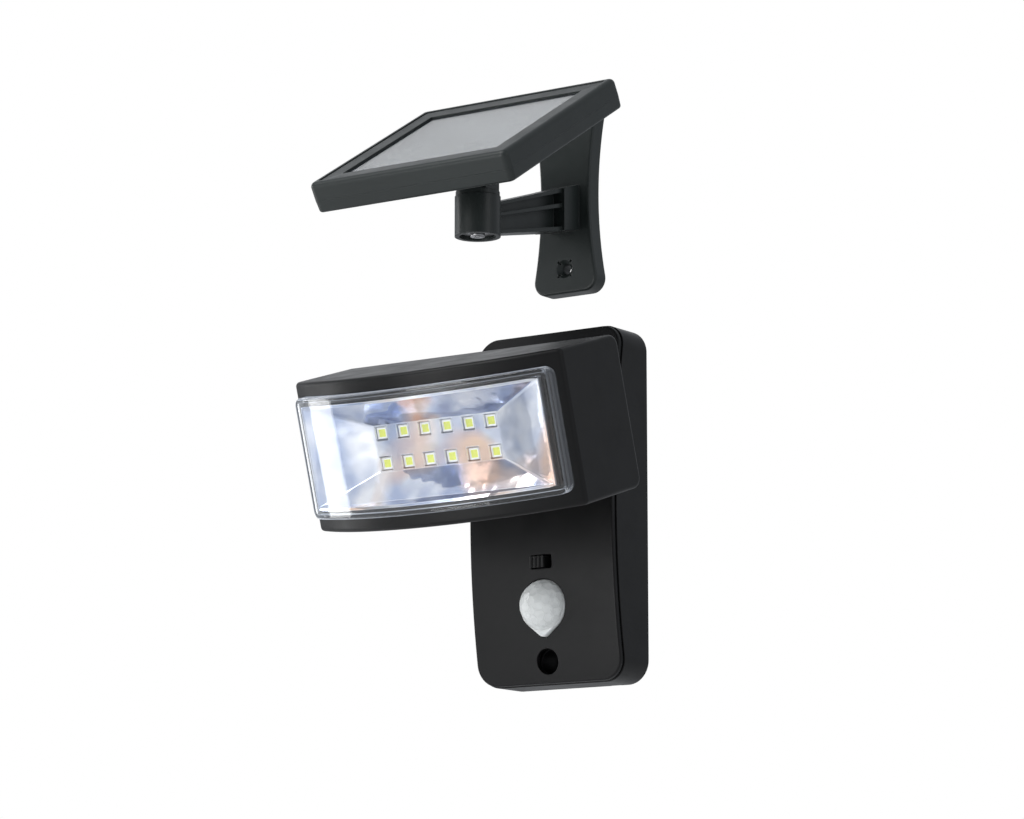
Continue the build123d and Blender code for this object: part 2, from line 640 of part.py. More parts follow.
ear_x = TILT_BARREL_W / 2 + GAP_FACE
tilt_bolt_x = ear_x + EAR_T
with BuildPart() as tilt_bolt:
    seat = Plane(origin=(tilt_bolt_x, TILT_Y, NECK_Z), x_dir=(0, 1, 0), z_dir=(1, 0, 0))
    bolt(seat, NECK_BOLT_R, 2 * tilt_bolt_x + BOLT_HEAD_T, BOLT_HEAD_R, BOLT_HEAD_T)
tilt_bolt.part.label = "tilt_bolt"
export_step(tilt_bolt.part, "parts/tilt_bolt.step")

with BuildPart() as tilt_nut:
    with BuildSketch(Plane.YZ.offset(-tilt_bolt_x)):
        with Locations((TILT_Y, NECK_Z)):
            RegularPolygon(BOLT_HEAD_R, 6)
            Circle(NECK_BOLT_R, mode=Mode.SUBTRACT)
    extrude(amount=-BOLT_HEAD_T)
tilt_nut.part.label = "tilt_nut"
export_step(tilt_nut.part, "parts/tilt_nut.step")

# ---- lamp head --------------------------------------------------------------------------------


def head_outline(inset, plane):
    """D-shaped plan of the head: flat back and sides, curved front, moved in by inset."""
    half = HEAD_W / 2 - inset
    front = -HEAD_BULGE + inset
    side_front = FRONT_CENTRE - sqrt((FRONT_R - inset) ** 2 - half**2)
    with BuildSketch(plane) as outline:
        with BuildLine():
            Polyline((half, side_front), (half, HEAD_SIDE), (-half, HEAD_SIDE), (-half, side_front))
            ThreePointArc((-half, side_front), (0, front), (half, side_front))
        make_face()
        fillet(outline.vertices().group_by(Axis.Y)[0], HEAD_FRONT_CORNER_R - inset)
    return outline.sketch


def head_side_view():
    """Side view of the head: square at the front, its two rear corners rounded."""
    with BuildSketch(Plane(HEAD_ORIGIN, x_dir=HEAD_REAR_DIR, z_dir=(1, 0, 0))) as side:
        with Locations((HEAD_SIDE - HEAD_W, 0)):
            RectangleRounded(2 * HEAD_W, HEAD_H, HEAD_REAR_R)
    return side.sketch


def outer_edges(solid):
    """The head's edges, apart from those that are already rounded."""
    up_axis, rear_axis = Axis(HEAD_ORIGIN, HEAD_UP_DIR), Axis(HEAD_ORIGIN, HEAD_REAR_DIR)
    chosen = solid.faces().filter_by(up_axis).edges().filter_by(GeomType.CIRCLE)
    for flank in solid.faces().filter_by(Axis.X):
        chosen += flank.edges().filter_by(up_axis, reverse=True)
        chosen += [flank.edges().filter_by(up_axis).sort_by(rear_axis)[-1]]
    return chosen


boss_points = corners(HEAD_W / 2 - HEAD_BOSS_IN, HEAD_H / 2 - HEAD_BOSS_IN)
flange_points = corners(LED_PITCH * 3, (APERTURE_H + REFLECTOR_FLANGE) / 2)
rear_plate_front = HEAD_SIDE - REAR_COVER_IN - REAR_COVER_T

with BuildPart() as head_shell:
    extrude(head_outline(0, head_plan(-HEAD_H / 2)), amount=HEAD_H)
    extrude(head_side_view(), amount=HEAD_W, both=True, mode=Mode.INTERSECT)
    fillet(outer_edges(head_shell), HEAD_EDGE_R)
    # the inside, less the block that frames the reflector
    with BuildPart(mode=Mode.PRIVATE) as hollow:
        inside_h = HEAD_H - 2 * HEAD_WALL
        extrude(head_outline(HEAD_WALL, head_plan(-inside_h / 2)), amount=inside_h)
        seat_h = APERTURE_H + 2 * (REFLECTOR_FLANGE + GAP_FIT)
        frame = rounded(head_face(FRAME_BACK), HEAD_W, seat_h + 2 * APERTURE_RIM, APERTURE_CORNER_R)
        extrude(frame, amount=HEAD_W, mode=Mode.SUBTRACT)
        bosses = spots(head_face(rear_plate_front), HEAD_BOSS_R, boss_points)
        extrude(bosses, amount=HEAD_W, mode=Mode.SUBTRACT)
    add(hollow.part, mode=Mode.SUBTRACT)
    # opening for the light, seat for the reflector, and the recess that the lens sits in
    seat_pocket = rounded(head_face(FRAME_BACK), APERTURE_W, seat_h, APERTURE_CORNER_R)
    extrude(seat_pocket, amount=FRAME_BACK - REFLECTOR_SEAT, mode=Mode.SUBTRACT)
    aperture = rounded(head_face(REFLECTOR_SEAT), APERTURE_W, APERTURE_H, APERTURE_CORNER_R)
    extrude(aperture, amount=HEAD_W, mode=Mode.SUBTRACT)
    with BuildPart(mode=Mode.PRIVATE) as recess:
        recess_w, recess_h = LENS_W + 2 * GAP_FIT, LENS_H + 2 * GAP_FIT
        extrude(front_band(FRONT_R + HEAD_BULGE, FRONT_R - LENS_RECESS, recess_h), amount=recess_h)
        lens_shape = rounded(head_face(HEAD_SIDE), recess_w, recess_h, LENS_CORNER_R + GAP_FIT)
        extrude(lens_shape, amount=2 * HEAD_W, mode=Mode.INTERSECT)
    add(recess.part, mode=Mode.SUBTRACT)
    # the way in for the rear cover, and the screw holes in the bosses
    opening_w, opening_h = HEAD_W - 2 * HEAD_WALL, HEAD_H - 2 * HEAD_WALL
    opening = rounded(head_face(HEAD_SIDE), opening_w, opening_h, HEAD_INNER_R)
    extrude(opening, amount=REAR_COVER_T + REAR_COVER_IN, mode=Mode.SUBTRACT)
    extrude(spots(head_face(rear_plate_front), SMALL_SCREW_R, boss_points), amount=9.0, mode=Mode.SUBTRACT)
    pilots = spots(head_face(REFLECTOR_SEAT), SMALL_SCREW_R, flange_points)
    extrude(pilots, amount=4.0, mode=Mode.SUBTRACT)
head_shell.part.label = "head_shell"
export_step(head_shell.part, "parts/head_shell.step")

with BuildPart() as lens_seal:
    extrude(front_band(LENS_SEAT_R, FRONT_R - LENS_RECESS, LENS_H), amount=LENS_H)
    lens_shape = rounded(head_face(HEAD_SIDE), LENS_W, LENS_H, LENS_CORNER_R)
    extrude(lens_shape, amount=2 * HEAD_W, mode=Mode.INTERSECT)
    inner_w, inner_h = LENS_W - 2 * LENS_WALL, LENS_H - 2 * LENS_WALL
    seal_hole = rounded(head_face(HEAD_SIDE), inner_w, inner_h, LENS_CORNER_R - LENS_WALL)
    extrude(seal_hole, amount=2 * HEAD_W, mode=Mode.SUBTRACT)
lens_seal.part.label = "lens_seal"
export_step(lens_seal.part, "parts/lens_seal.step")

with BuildPart() as lens:
    extrude(front_band(LENS_OUTER_R, LENS_SEAT_R, LENS_H), amount=LENS_H)
    extrude(lens_shape, amount=2 * HEAD_W, mode=Mode.INTERSECT)
    front_face = lens.faces().sort_by(Axis.Y)[0]
    fillet(front_face.edges(), LENS_EDGE_R)
    with BuildPart(mode=Mode.PRIVATE) as lens_hollow:
        extrude(front_band(LENS_OUTER_R - LENS_WALL, 0, inner_h), amount=inner_h)
        extrude(seal_hole, amount=2 * HEAD_W, mode=Mode.INTERSECT)
    add(lens_hollow.part, mode=Mode.SUBTRACT)
lens.part.label = "lens"
export_step(lens.part, "parts/lens.step")

led_xs = [(i - (LED_COLUMNS - 1) / 2) * LED_PITCH for i in range(LED_COLUMNS)]
led_points = [(x, side * LED_ROW_PITCH / 2) for side in (-1, 1) for x in led_xs]
flange_w = APERTURE_W - 2 * GAP_FIT
flange_h = APERTURE_H + 2 * REFLECTOR_FLANGE
board_points = [(-2 * LED_PITCH, 0), (2 * LED_PITCH, 0)]
with BuildPart() as reflector:
    flange_plane = head_face(REFLECTOR_SEAT + REFLECTOR_T)
    extrude(rounded(flange_plane, flange_w, flange_h, APERTURE_CORNER_R), amount=REFLECTOR_T)
    # straight walls forwards, sloped walls back to the plate
    outer_w, outer_h = RIM_W + 2 * REFLECTOR_T, RIM_H + 2 * REFLECTOR_T
    extrude(rounded(head_face(RIM_DEPTH), outer_w, outer_h, 3.0), amount=HEAD_BULGE)
    with BuildSketch(head_face(RIM_DEPTH)):
        RectangleRounded(outer_w, outer_h, 3.0)
    with BuildSketch(head_face(PLATE_FRONT + PLATE_T)):
        RectangleRounded(PLATE_W + 2 * REFLECTOR_T, PLATE_H + 2 * REFLECTOR_T, 1.5)
    loft()
    extrude(rounded(head_face(RIM_DEPTH), RIM_W, RIM_H, 2.5), amount=HEAD_BULGE, mode=Mode.SUBTRACT)
    with BuildSketch(head_face(RIM_DEPTH)):
        RectangleRounded(RIM_W, RIM_H, 2.5)
    with BuildSketch(head_face(PLATE_FRONT)):
        RectangleRounded(PLATE_W, PLATE_H, 1.0)
    loft(mode=Mode.SUBTRACT)
    # the rim follows the lens
    with BuildSketch(head_plan(-HEAD_H / 2)):
        with Locations((0, FRONT_CENTRE)):
            Circle(LENS_OUTER_R - LENS_WALL - RIM_TO_LENS)
    extrude(amount=HEAD_H, mode=Mode.INTERSECT)
    with BuildSketch(head_face(LED_BOARD_FRONT)):
        with Locations(*led_points):
            Rectangle(LED_POCKET, LED_POCKET)
        with Locations(*board_points):
            Circle(SMALL_SCREW_R)
    extrude(amount=PLATE_T, mode=Mode.SUBTRACT)
    flange_back = head_face(REFLECTOR_SEAT + REFLECTOR_T)
    extrude(spots(flange_back, SMALL_SCREW_R, flange_points), amount=REFLECTOR_T, mode=Mode.SUBTRACT)
reflector.part.label = "reflector"
export_step(reflector.part, "parts/reflector.step")

with BuildPart() as led_board:
    extrude(rounded(head_face(LED_BOARD_FRONT + BOARD_T), LED_BOARD_W, LED_BOARD_H, 2.0), amount=BOARD_T)
    board_back = head_face(LED_BOARD_FRONT + BOARD_T)
    extrude(spots(board_back, SMALL_SCREW_R, board_points), amount=BOARD_T, mode=Mode.SUBTRACT)
led_board.part.label = "led_board"
export_step(led_board.part, "parts/led_board.step")

with BuildPart() as led_chips:
    with BuildSketch(head_face(LED_BOARD_FRONT)):
        with Locations(*led_points):
            Rectangle(LED_SIZE, LED_SIZE)
    extrude(amount=LED_T)
led_chips.part.label = "led_chips"
export_step(led_chips.part, "parts/led_chips.step")


def head_screws(depth, points, shank_l):
    """Small screws that go forwards into the head, their heads seated at a depth."""
    for x, up in points:
        seat_point = HEAD_ORIGIN + HEAD_REAR_DIR * depth + HEAD_UP_DIR * up + Vector(x, 0, 0)
        seat = Plane(seat_point, x_dir=(1, 0, 0), z_dir=HEAD_REAR_DIR)
        bolt(seat, SMALL_SCREW_R - 0.02, shank_l, SMALL_HEAD_R, SCREW_HEAD_T)


with BuildPart() as inner_screws:
    head_screws(LED_BOARD_FRONT + BOARD_T, board_points, BOARD_T + PLATE_T - 0.4)
inner_screws.part.label = "led_board_screws"
export_step(inner_screws.part, "parts/led_board_screws.step")

with BuildPart() as reflector_screws:
    head_screws(REFLECTOR_SEAT + REFLECTOR_T, flange_points, REFLECTOR_T + 3.0)
reflector_screws.part.label = "reflector_screws"
export_step(reflector_screws.part, "parts/reflector_screws.step")

with BuildPart() as head_rear_cover:
    plate_face = head_face(HEAD_SIDE - REAR_COVER_IN)
    cover_w, cover_h = opening_w - 2 * GAP_FIT, opening_h - 2 * GAP_FIT
    extrude(rounded(plate_face, cover_w, cover_h, HEAD_INNER_R), amount=REAR_COVER_T)
    extrude(spots(plate_face, SMALL_SCREW_R + 0.2, boss_points), amount=REAR_COVER_T, mode=Mode.SUBTRACT)
    # ears on the neck's cross barrel
    for side in (-1, 1):
        ear_plane = Plane(
            TILT_POINT + Vector(side * (ear_x + EAR_T / 2), 0, 0), x_dir=HEAD_REAR_DIR, z_dir=(1, 0, 0)
        )
        reach = HEAD_TO_TILT + REAR_COVER_IN + REAR_COVER_T / 2
        with BuildSketch(ear_plane):
            Circle(TILT_BARREL_R)
            with Locations((-reach / 2, 0)):
                Rectangle(reach, 2 * TILT_BARREL_R)
            Circle(NECK_BOLT_R + GAP_RUN, mode=Mode.SUBTRACT)
        extrude(amount=EAR_T / 2, both=True)
    # the lead's way in
    extrude(spots(plate_face, GROMMET_R, [(-GROMMET_X, 0)]), amount=REAR_COVER_T, mode=Mode.SUBTRACT)
head_rear_cover.part.label = "head_rear_cover"
export_step(head_rear_cover.part, "parts/head_rear_cover.step")

with BuildPart() as head_grommet:
    extrude(spots(plate_face, GROMMET_R, [(-GROMMET_X, 0)]), amount=REAR_COVER_T)
    extrude(spots(plate_face, GROMMET_R + 1.2, [(-GROMMET_X, 0)]), amount=-1.2)
    bore_start = head_face(HEAD_SIDE + GROMMET_R)
    extrude(spots(bore_start, CABLE_R, [(-GROMMET_X, 0)]), amount=HEAD_SIDE, mode=Mode.SUBTRACT)
head_grommet.part.label = "head_grommet"
export_step(head_grommet.part, "parts/head_grommet.step")

with BuildPart() as head_cover_screws:
    head_screws(HEAD_SIDE - REAR_COVER_IN, boss_points, REAR_COVER_T + 7.0)
head_cover_screws.part.label = "head_cover_screws"
export_step(head_cover_screws.part, "parts/head_cover_screws.step")

# ---- solar panel ------------------------------------------------------------------------------

panel_boss_points = corners(PANEL_W / 2 - PANEL_BOSS_IN, PANEL_L / 2 - PANEL_BOSS_IN)
back_depth = PANEL_T - LIP_RISE - PANEL_FRAME_T

with BuildPart() as panel_frame:
    extrude(rounded(panel_face(PANEL_SEAM), PANEL_W, PANEL_L, PANEL_CORNER_R), amount=-PANEL_SEAM)
    top_face = panel_frame.faces().sort_by(Axis(PANEL_CENTRE, PANEL_UP_DIR))[-1]
    fillet(top_face.edges(), PANEL_RIM_R)
    # the flat inside the raised lip, with a fine groove round it
    flat_w, flat_l = PANEL_W - 2 * LIP_W, PANEL_L - 2 * LIP_W
    extrude(rounded(panel_face(-LIP_RISE), flat_w, flat_l, 1.5), amount=LIP_RISE, mode=Mode.SUBTRACT)
    with BuildSketch(panel_face(-LIP_RISE)):
        RectangleRounded(flat_w, flat_l, 1.5)
        inner_w, inner_l = flat_w - 2 * RIM_GROOVE, flat_l - 2 * RIM_GROOVE
        RectangleRounded(inner_w, inner_l, 1.5 - RIM_GROOVE, mode=Mode.SUBTRACT)
    extrude(amount=-RIM_GROOVE, mode=Mode.SUBTRACT)
    # window: a shallow slope, then an upright edge
    with BuildSketch(panel_face(-LIP_RISE)):
        Rectangle(WINDOW_W + 2 * WINDOW_SLOPE_W, WINDOW_L + 2 * WINDOW_SLOPE_W)
    with BuildSketch(panel_face(-LIP_RISE - WINDOW_SLOPE_T)):
        Rectangle(WINDOW_W, WINDOW_L)
    loft(mode=Mode.SUBTRACT)
    extrude(rounded(panel_face(GLASS_TOP), WINDOW_W, WINDOW_L, 0.4), amount=PANEL_T, mode=Mode.SUBTRACT)
    # pocket for glass, cells and seal, then the hollow rim below it
    pocket_w, pocket_l = WINDOW_W + 2 * GLASS_LAP + 2 * GAP_FIT, WINDOW_L + 2 * GLASS_LAP + 2 * GAP_FIT
    extrude(rounded(panel_face(GLASS_TOP), pocket_w, pocket_l, 1.0), amount=-PANEL_T, mode=Mode.SUBTRACT)
    pilots = spots(panel_face(PANEL_SEAM), SMALL_SCREW_R, panel_boss_points)
    extrude(pilots, amount=PANEL_FRAME_T - 2.0, mode=Mode.SUBTRACT)
panel_frame.part.label = "panel_frame"
export_step(panel_frame.part, "parts/panel_frame.step")

glass_w, glass_l = WINDOW_W + 2 * GLASS_LAP, WINDOW_L + 2 * GLASS_LAP
with BuildPart() as panel_glass:
    extrude(rounded(panel_face(GLASS_TOP), glass_w, glass_l, 1.0), amount=-GLASS_T)
panel_glass.part.label = "panel_glass"
export_step(panel_glass.part, "parts/panel_glass.step")

cell_top = GLASS_TOP - GLASS_T
with BuildPart() as solar_cells:
    extrude(rounded(panel_face(cell_top), glass_w, glass_l, 1.0), amount=-CELL_BOARD_T)
solar_cells.part.label = "solar_cells"
export_step(solar_cells.part, "parts/solar_cells.step")

seal_top = cell_top - CELL_BOARD_T
panel_seal_t = seal_top - PANEL_SEAM
with BuildPart() as panel_seal:
    extrude(rounded(panel_face(seal_top), glass_w, glass_l, 1.0), amount=-panel_seal_t)
    inside = rounded(panel_face(seal_top), glass_w - 6, glass_l - 6, 1.0)
    extrude(inside, amount=-panel_seal_t, mode=Mode.SUBTRACT)
panel_seal.part.label = "panel_seal"
export_step(panel_seal.part, "parts/panel_seal.step")

lug_x = PANEL_LUG_W / 2
foot_points = [(-FOOT_W / 2 + FOOT_SCREW_IN, 0), (FOOT_W / 2 - FOOT_SCREW_IN, 0)]
underside = -PANEL_T
with BuildPart() as panel_back:
    outline = rounded(panel_face(PANEL_SEAM), PANEL_W, PANEL_L, PANEL_CORNER_R)
    extrude(outline, amount=-back_depth, taper=PANEL_TAPER)
    bottom_face = panel_back.faces().sort_by(Axis(PANEL_CENTRE, PANEL_UP_DIR))[0]
    fillet(bottom_face.edges(), PANEL_EDGE_R)
    hollow_w, hollow_l = PANEL_W - 2 * PANEL_BOSS_IN - 8, PANEL_L - 2 * PANEL_BOSS_IN - 8
    hollow_t = back_depth - PANEL_WALL
    extrude(rounded(panel_face(PANEL_SEAM), hollow_w, hollow_l, 3.0), amount=-hollow_t, mode=Mode.SUBTRACT)
    # holes for the screws and for the cable's grommet
    through = spots(panel_face(underside), SMALL_SCREW_R + 0.2, panel_boss_points)
    extrude(through, amount=PANEL_T, mode=Mode.SUBTRACT)
    extrude(spots(panel_face(underside), SMALL_SCREW_R, foot_points), amount=PANEL_WALL, mode=Mode.SUBTRACT)
    seats = spots(panel_face(underside), SMALL_HEAD_R + 0.2, panel_boss_points)
    extrude(seats, amount=SCREW_HEAD_T + 0.4, mode=Mode.SUBTRACT)
    exit_hole = spots(panel_face(underside), GROMMET_R, [(0, PANEL_GROMMET_Y)])
    extrude(exit_hole, amount=PANEL_WALL, mode=Mode.SUBTRACT)
panel_back.part.label = "panel_back"
export_step(panel_back.part, "parts/panel_back.step")

with BuildPart() as panel_foot:
    extrude(rounded(panel_face(underside), FOOT_W, FOOT_L, 3.0), amount=-FOOT_T)
    # the hinge lug
    lug_plane = Plane(PANEL_HINGE, x_dir=PANEL_BACK_DIR, z_dir=(1, 0, 0))
    lug_reach = PANEL_HINGE_DROP - FOOT_T / 2
    with BuildSketch(lug_plane):
        Circle(PANEL_LUG_R)
        with BuildLine():
            Polyline(
                (-PANEL_LUG_R, 0),
                (PANEL_LUG_R, 0),
                (PANEL_LUG_R + 3, lug_reach),
                (-PANEL_LUG_R - 3, lug_reach),
                close=True,
            )
        make_face()
        Circle(PANEL_BOLT_R + GAP_RUN, mode=Mode.SUBTRACT)
    extrude(amount=lug_x, both=True)
    foot_holes = spots(panel_face(underside - FOOT_T), SMALL_SCREW_R + 0.2, foot_points)
    extrude(foot_holes, amount=FOOT_T, mode=Mode.SUBTRACT)
panel_foot.part.label = "panel_foot"
export_step(panel_foot.part, "parts/panel_foot.step")

with BuildPart() as foot_screws:
    for x, along in foot_points:
        seat_point = PANEL_CENTRE - PANEL_UP_DIR * (PANEL_T + FOOT_T) + Vector(x, 0, 0)
        seat = Plane(seat_point, x_dir=(1, 0, 0), z_dir=-PANEL_UP_DIR)
        bolt(seat, SMALL_SCREW_R - 0.02, FOOT_T + PANEL_WALL + 0.6, SMALL_HEAD_R, SCREW_HEAD_T)
foot_screws.part.label = "foot_screws"
export_step(foot_screws.part, "parts/foot_screws.step")

with BuildPart() as panel_grommet:
    collar = spots(panel_face(underside), GROMMET_R + 1.0, [(0, PANEL_GROMMET_Y)])
    extrude(collar, amount=-2.4)
    extrude(spots(panel_face(underside), GROMMET_R, [(0, PANEL_GROMMET_Y)]), amount=PANEL_WALL)
    cable_bore = spots(panel_face(underside - PANEL_T), CABLE_R, [(0, PANEL_GROMMET_Y)])
    extrude(cable_bore, amount=2 * PANEL_T, mode=Mode.SUBTRACT)
panel_grommet.part.label = "panel_grommet"
export_step(panel_grommet.part, "parts/panel_grommet.step")

with BuildPart() as panel_screws:
    for x, along in panel_boss_points:
        seat_rise = underside + SCREW_HEAD_T + 0.4
        seat_point = PANEL_CENTRE + PANEL_UP_DIR * seat_rise + PANEL_BACK_DIR * along + Vector(x, 0, 0)
        seat = Plane(seat_point, x_dir=(1, 0, 0), z_dir=-PANEL_UP_DIR)
        bolt(seat, SMALL_SCREW_R - 0.02, 8.0, SMALL_HEAD_R, SCREW_HEAD_T)
panel_screws.part.label = "panel_screws"
export_step(panel_screws.part, "parts/panel_screws.step")

# ---- panel bracket ----------------------------------------------------------------------------

plate_mid_z = (PLATE_BOTTOM_Z + PLATE_TOP_Z) / 2
bracket_screws = [(0, PLATE_BOTTOM_Z + BRACKET_SCREW_IN), (0, PLATE_TOP_Z - BRACKET_SCREW_IN)]
arm_tan = tan(radians(ARM_SLOPE))
barrel_y = PANEL_Y
arm_start_y = barrel_y + BARREL_R * 0.6


def plate_outline(inset, back_y):
    """Waisted outline of the wall plate, moved in by inset."""
    half = PLATE_FLARE_W / 2 - inset
    waist = PLATE_WAIST_W / 2 - inset
    low, high = PLATE_BOTTOM_Z + inset, PLATE_TOP_Z - inset
    with BuildSketch(Plane.XZ.offset(-back_y)) as outline:
        with BuildLine():
            Line((-half, low), (half, low))
            ThreePointArc((half, low), (waist, plate_mid_z), (half, high))
            Line((half, high), (-half, high))
            ThreePointArc((-half, high), (-waist, plate_mid_z), (-half, low))
        make_face()
        fillet(outline.vertices(), BRACKET_CORNER_R - inset)
    return outline.sketch


def arm_strip(low, high, half_width, start_y=arm_start_y, end_y=-BRACKET_PLATE_T + 1.0):
    """A length of the arm between two fractions of its height, half_width each side."""
    points = []
    for y, share in ((start_y, low), (end_y, low), (end_y, high), (start_y, high)):
        along = (y - barrel_y) / -barrel_y
        height = ARM_H_BARREL + (ARM_H_WALL - ARM_H_BARREL) * along
        points.append((y, ARM_BOTTOM_Z + (y - barrel_y - BARREL_R) * arm_tan + share * height))
    with BuildSketch(Plane.YZ) as strip:
        with BuildLine():
            Polyline(*points, close=True)
        make_face()
    extrude(strip.sketch, amount=half_width, both=True)


with BuildPart() as panel_bracket:
    extrude(plate_outline(0, 0), amount=BRACKET_PLATE_T)
    fillet(panel_bracket.faces().sort_by(Axis.Y)[0].edges(), 1.2)
    with BuildPart(mode=Mode.PRIVATE) as plate_hollow:
        hollow_depth = BRACKET_PLATE_T - BRACKET_WALL
        extrude(plate_outline(BRACKET_WALL, 0), amount=hollow_depth)
        extrude(discs(BRACKET_SINK_R + 1.6, 0, bracket_screws), amount=hollow_depth, mode=Mode.SUBTRACT)
        add_block((-20, 20), (-hollow_depth, 0), (plate_mid_z - 1.2, plate_mid_z + 1.2), mode=Mode.SUBTRACT)
    add(plate_hollow.part, mode=Mode.SUBTRACT)
    # arm: an upright web between three ledges, with a thick root at the plate
    rib_share = ARM_RIB_T / ARM_H_WALL
    arm_strip(0, 1, ARM_WEB_T / 2)
    for share in (0, 0.55, 1 - rib_share):
        arm_strip(share, share + rib_share, ARM_FLANGE_W / 2, end_y=-BRACKET_PLATE_T - ARM_ROOT_L / 2)
    arm_strip(0, 1, ARM_ROOT_W / 2, start_y=-BRACKET_PLATE_T - ARM_ROOT_L)
    # barrel for the panel's post
    with BuildSketch(Plane.XY.offset(BARREL_BOTTOM_Z)):
        with Locations((0, barrel_y)):
            Circle(BARREL_R)
    extrude(amount=BARREL_TOP_Z - BARREL_BOTTOM_Z)
    with BuildSketch(Plane.XY.offset(BARREL_BOTTOM_Z)):
        with Locations((0, barrel_y)):
            Circle(POST_R + GAP_RUN)
    extrude(amount=2 * BARREL_R + ARM_H_WALL, mode=Mode.SUBTRACT)
    with BuildSketch(Plane.XY.offset(BARREL_BOTTOM_Z)):
        with Locations((0, barrel_y)):
            Circle(WASHER_R + 2 * GAP_FIT)
    extrude(amount=WASHER_POCKET, mode=Mode.SUBTRACT)
    # countersunk screw holes, with four notches that key the screw's head
    extrude(discs(BRACKET_SCREW_R, 0, bracket_screws), amount=BRACKET_PLATE_T, mode=Mode.SUBTRACT)
    for x, z in bracket_screws:
        with BuildSketch(Plane.XZ.offset(BRACKET_PLATE_T)):
            with Locations((x, z)):
                Circle(BRACKET_SINK_R)
        with BuildSketch(Plane.XZ.offset(BRACKET_PLATE_T - 2.2)):
            with Locations((x, z)):
                Circle(BRACKET_SCREW_R)
        loft(mode=Mode.SUBTRACT)
        with BuildSketch(Plane.XZ.offset(BRACKET_PLATE_T - 1.2)):
            with Locations((x, z)):
                Rectangle(2 * BRACKET_SINK_R + 1.6, 1.0, rotation=45)
                Rectangle(2 * BRACKET_SINK_R + 1.6, 1.0, rotation=-45)
        extrude(amount=1.2, mode=Mode.SUBTRACT)
panel_bracket.part.label = "panel_bracket"
export_step(panel_bracket.part, "parts/panel_bracket.step")

disc_z = BARREL_TOP_Z + GAP_FACE
ear_half = lug_x + GAP_FACE
with BuildPart() as swivel_post:
    with BuildSketch(Plane.XY.offset(disc_z)):
        with Locations((0, barrel_y)):
            Circle(POST_DISC_R)
    extrude(amount=POST_DISC_T)
    pin_bottom = BARREL_BOTTOM_Z + WASHER_POCKET - GAP_FACE
    with BuildSketch(Plane.XY.offset(disc_z)):
        with Locations((0, barrel_y)):
            Circle(POST_R)
    extrude(amount=pin_bottom - disc_z)
    for side in (-1, 1):
        ear_mid = side * (ear_half + POST_EAR_T / 2)
        with BuildSketch(Plane.YZ.offset(ear_mid)):
            with Locations((PANEL_Y, PANEL_Z)):
                Circle(POST_EAR_R)
            with Locations((PANEL_Y, (PANEL_Z + disc_z) / 2)):
                Rectangle(2 * POST_EAR_R, PANEL_Z - disc_z)
            with Locations((PANEL_Y, PANEL_Z)):
                Circle(PANEL_BOLT_R + GAP_RUN, mode=Mode.SUBTRACT)
        extrude(amount=POST_EAR_T / 2, both=True)
    with BuildSketch(Plane.XY.offset(pin_bottom)):
        with Locations((0, barrel_y)):
            Circle(SMALL_SCREW_R + 0.5)
    extrude(amount=10.0, mode=Mode.SUBTRACT)
swivel_post.part.label = "swivel_post"
export_step(swivel_post.part, "parts/swivel_post.step")

with BuildPart() as post_washer:
    with BuildSketch(Plane.XY.offset(pin_bottom - WASHER_T)):
        with Locations((0, barrel_y)):
            Circle(WASHER_R)
            Circle(SMALL_SCREW_R + 0.7, mode=Mode.SUBTRACT)
    extrude(amount=WASHER_T)
post_washer.part.label = "post_washer"
export_step(post_washer.part, "parts/post_washer.step")

with BuildPart() as post_screw:
    head_plane = Plane(origin=(0, barrel_y, pin_bottom - WASHER_T), x_dir=(1, 0, 0), z_dir=(0, 0, -1))
    bolt(head_plane, SMALL_SCREW_R + 0.5 - 0.02, WASHER_T + 9.0, SMALL_HEAD_R + 1.2, SCREW_HEAD_T)
post_screw.part.label = "post_screw"
export_step(post_screw.part, "parts/post_screw.step")

panel_bolt_x = ear_half + POST_EAR_T
with BuildPart() as panel_bolt:
    seat = Plane(origin=(panel_bolt_x, PANEL_Y, PANEL_Z), x_dir=(0, 1, 0), z_dir=(1, 0, 0))
    bolt(seat, PANEL_BOLT_R, 2 * panel_bolt_x + PANEL_BOLT_HEAD_T, PANEL_BOLT_HEAD_R, PANEL_BOLT_HEAD_T)
panel_bolt.part.label = "panel_bolt"
export_step(panel_bolt.part, "parts/panel_bolt.step")

with BuildPart() as panel_nut:
    with BuildSketch(Plane.YZ.offset(-panel_bolt_x)):
        with Locations((PANEL_Y, PANEL_Z)):
            RegularPolygon(PANEL_BOLT_HEAD_R, 6)
            Circle(PANEL_BOLT_R, mode=Mode.SUBTRACT)
    extrude(amount=-PANEL_BOLT_HEAD_T)
panel_nut.part.label = "panel_nut"
export_step(panel_nut.part, "parts/panel_nut.step")
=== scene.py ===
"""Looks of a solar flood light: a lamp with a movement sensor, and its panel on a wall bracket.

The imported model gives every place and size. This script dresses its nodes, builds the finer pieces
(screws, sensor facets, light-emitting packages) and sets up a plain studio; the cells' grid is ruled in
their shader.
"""

import json
import logging
from dataclasses import dataclass, field
from enum import Enum
from math import acos, atan2, cos, hypot, pi, radians, sin
from typing import Callable, ClassVar, Iterable, Sequence

import bmesh
import bpy
from mathutils import Matrix, Vector


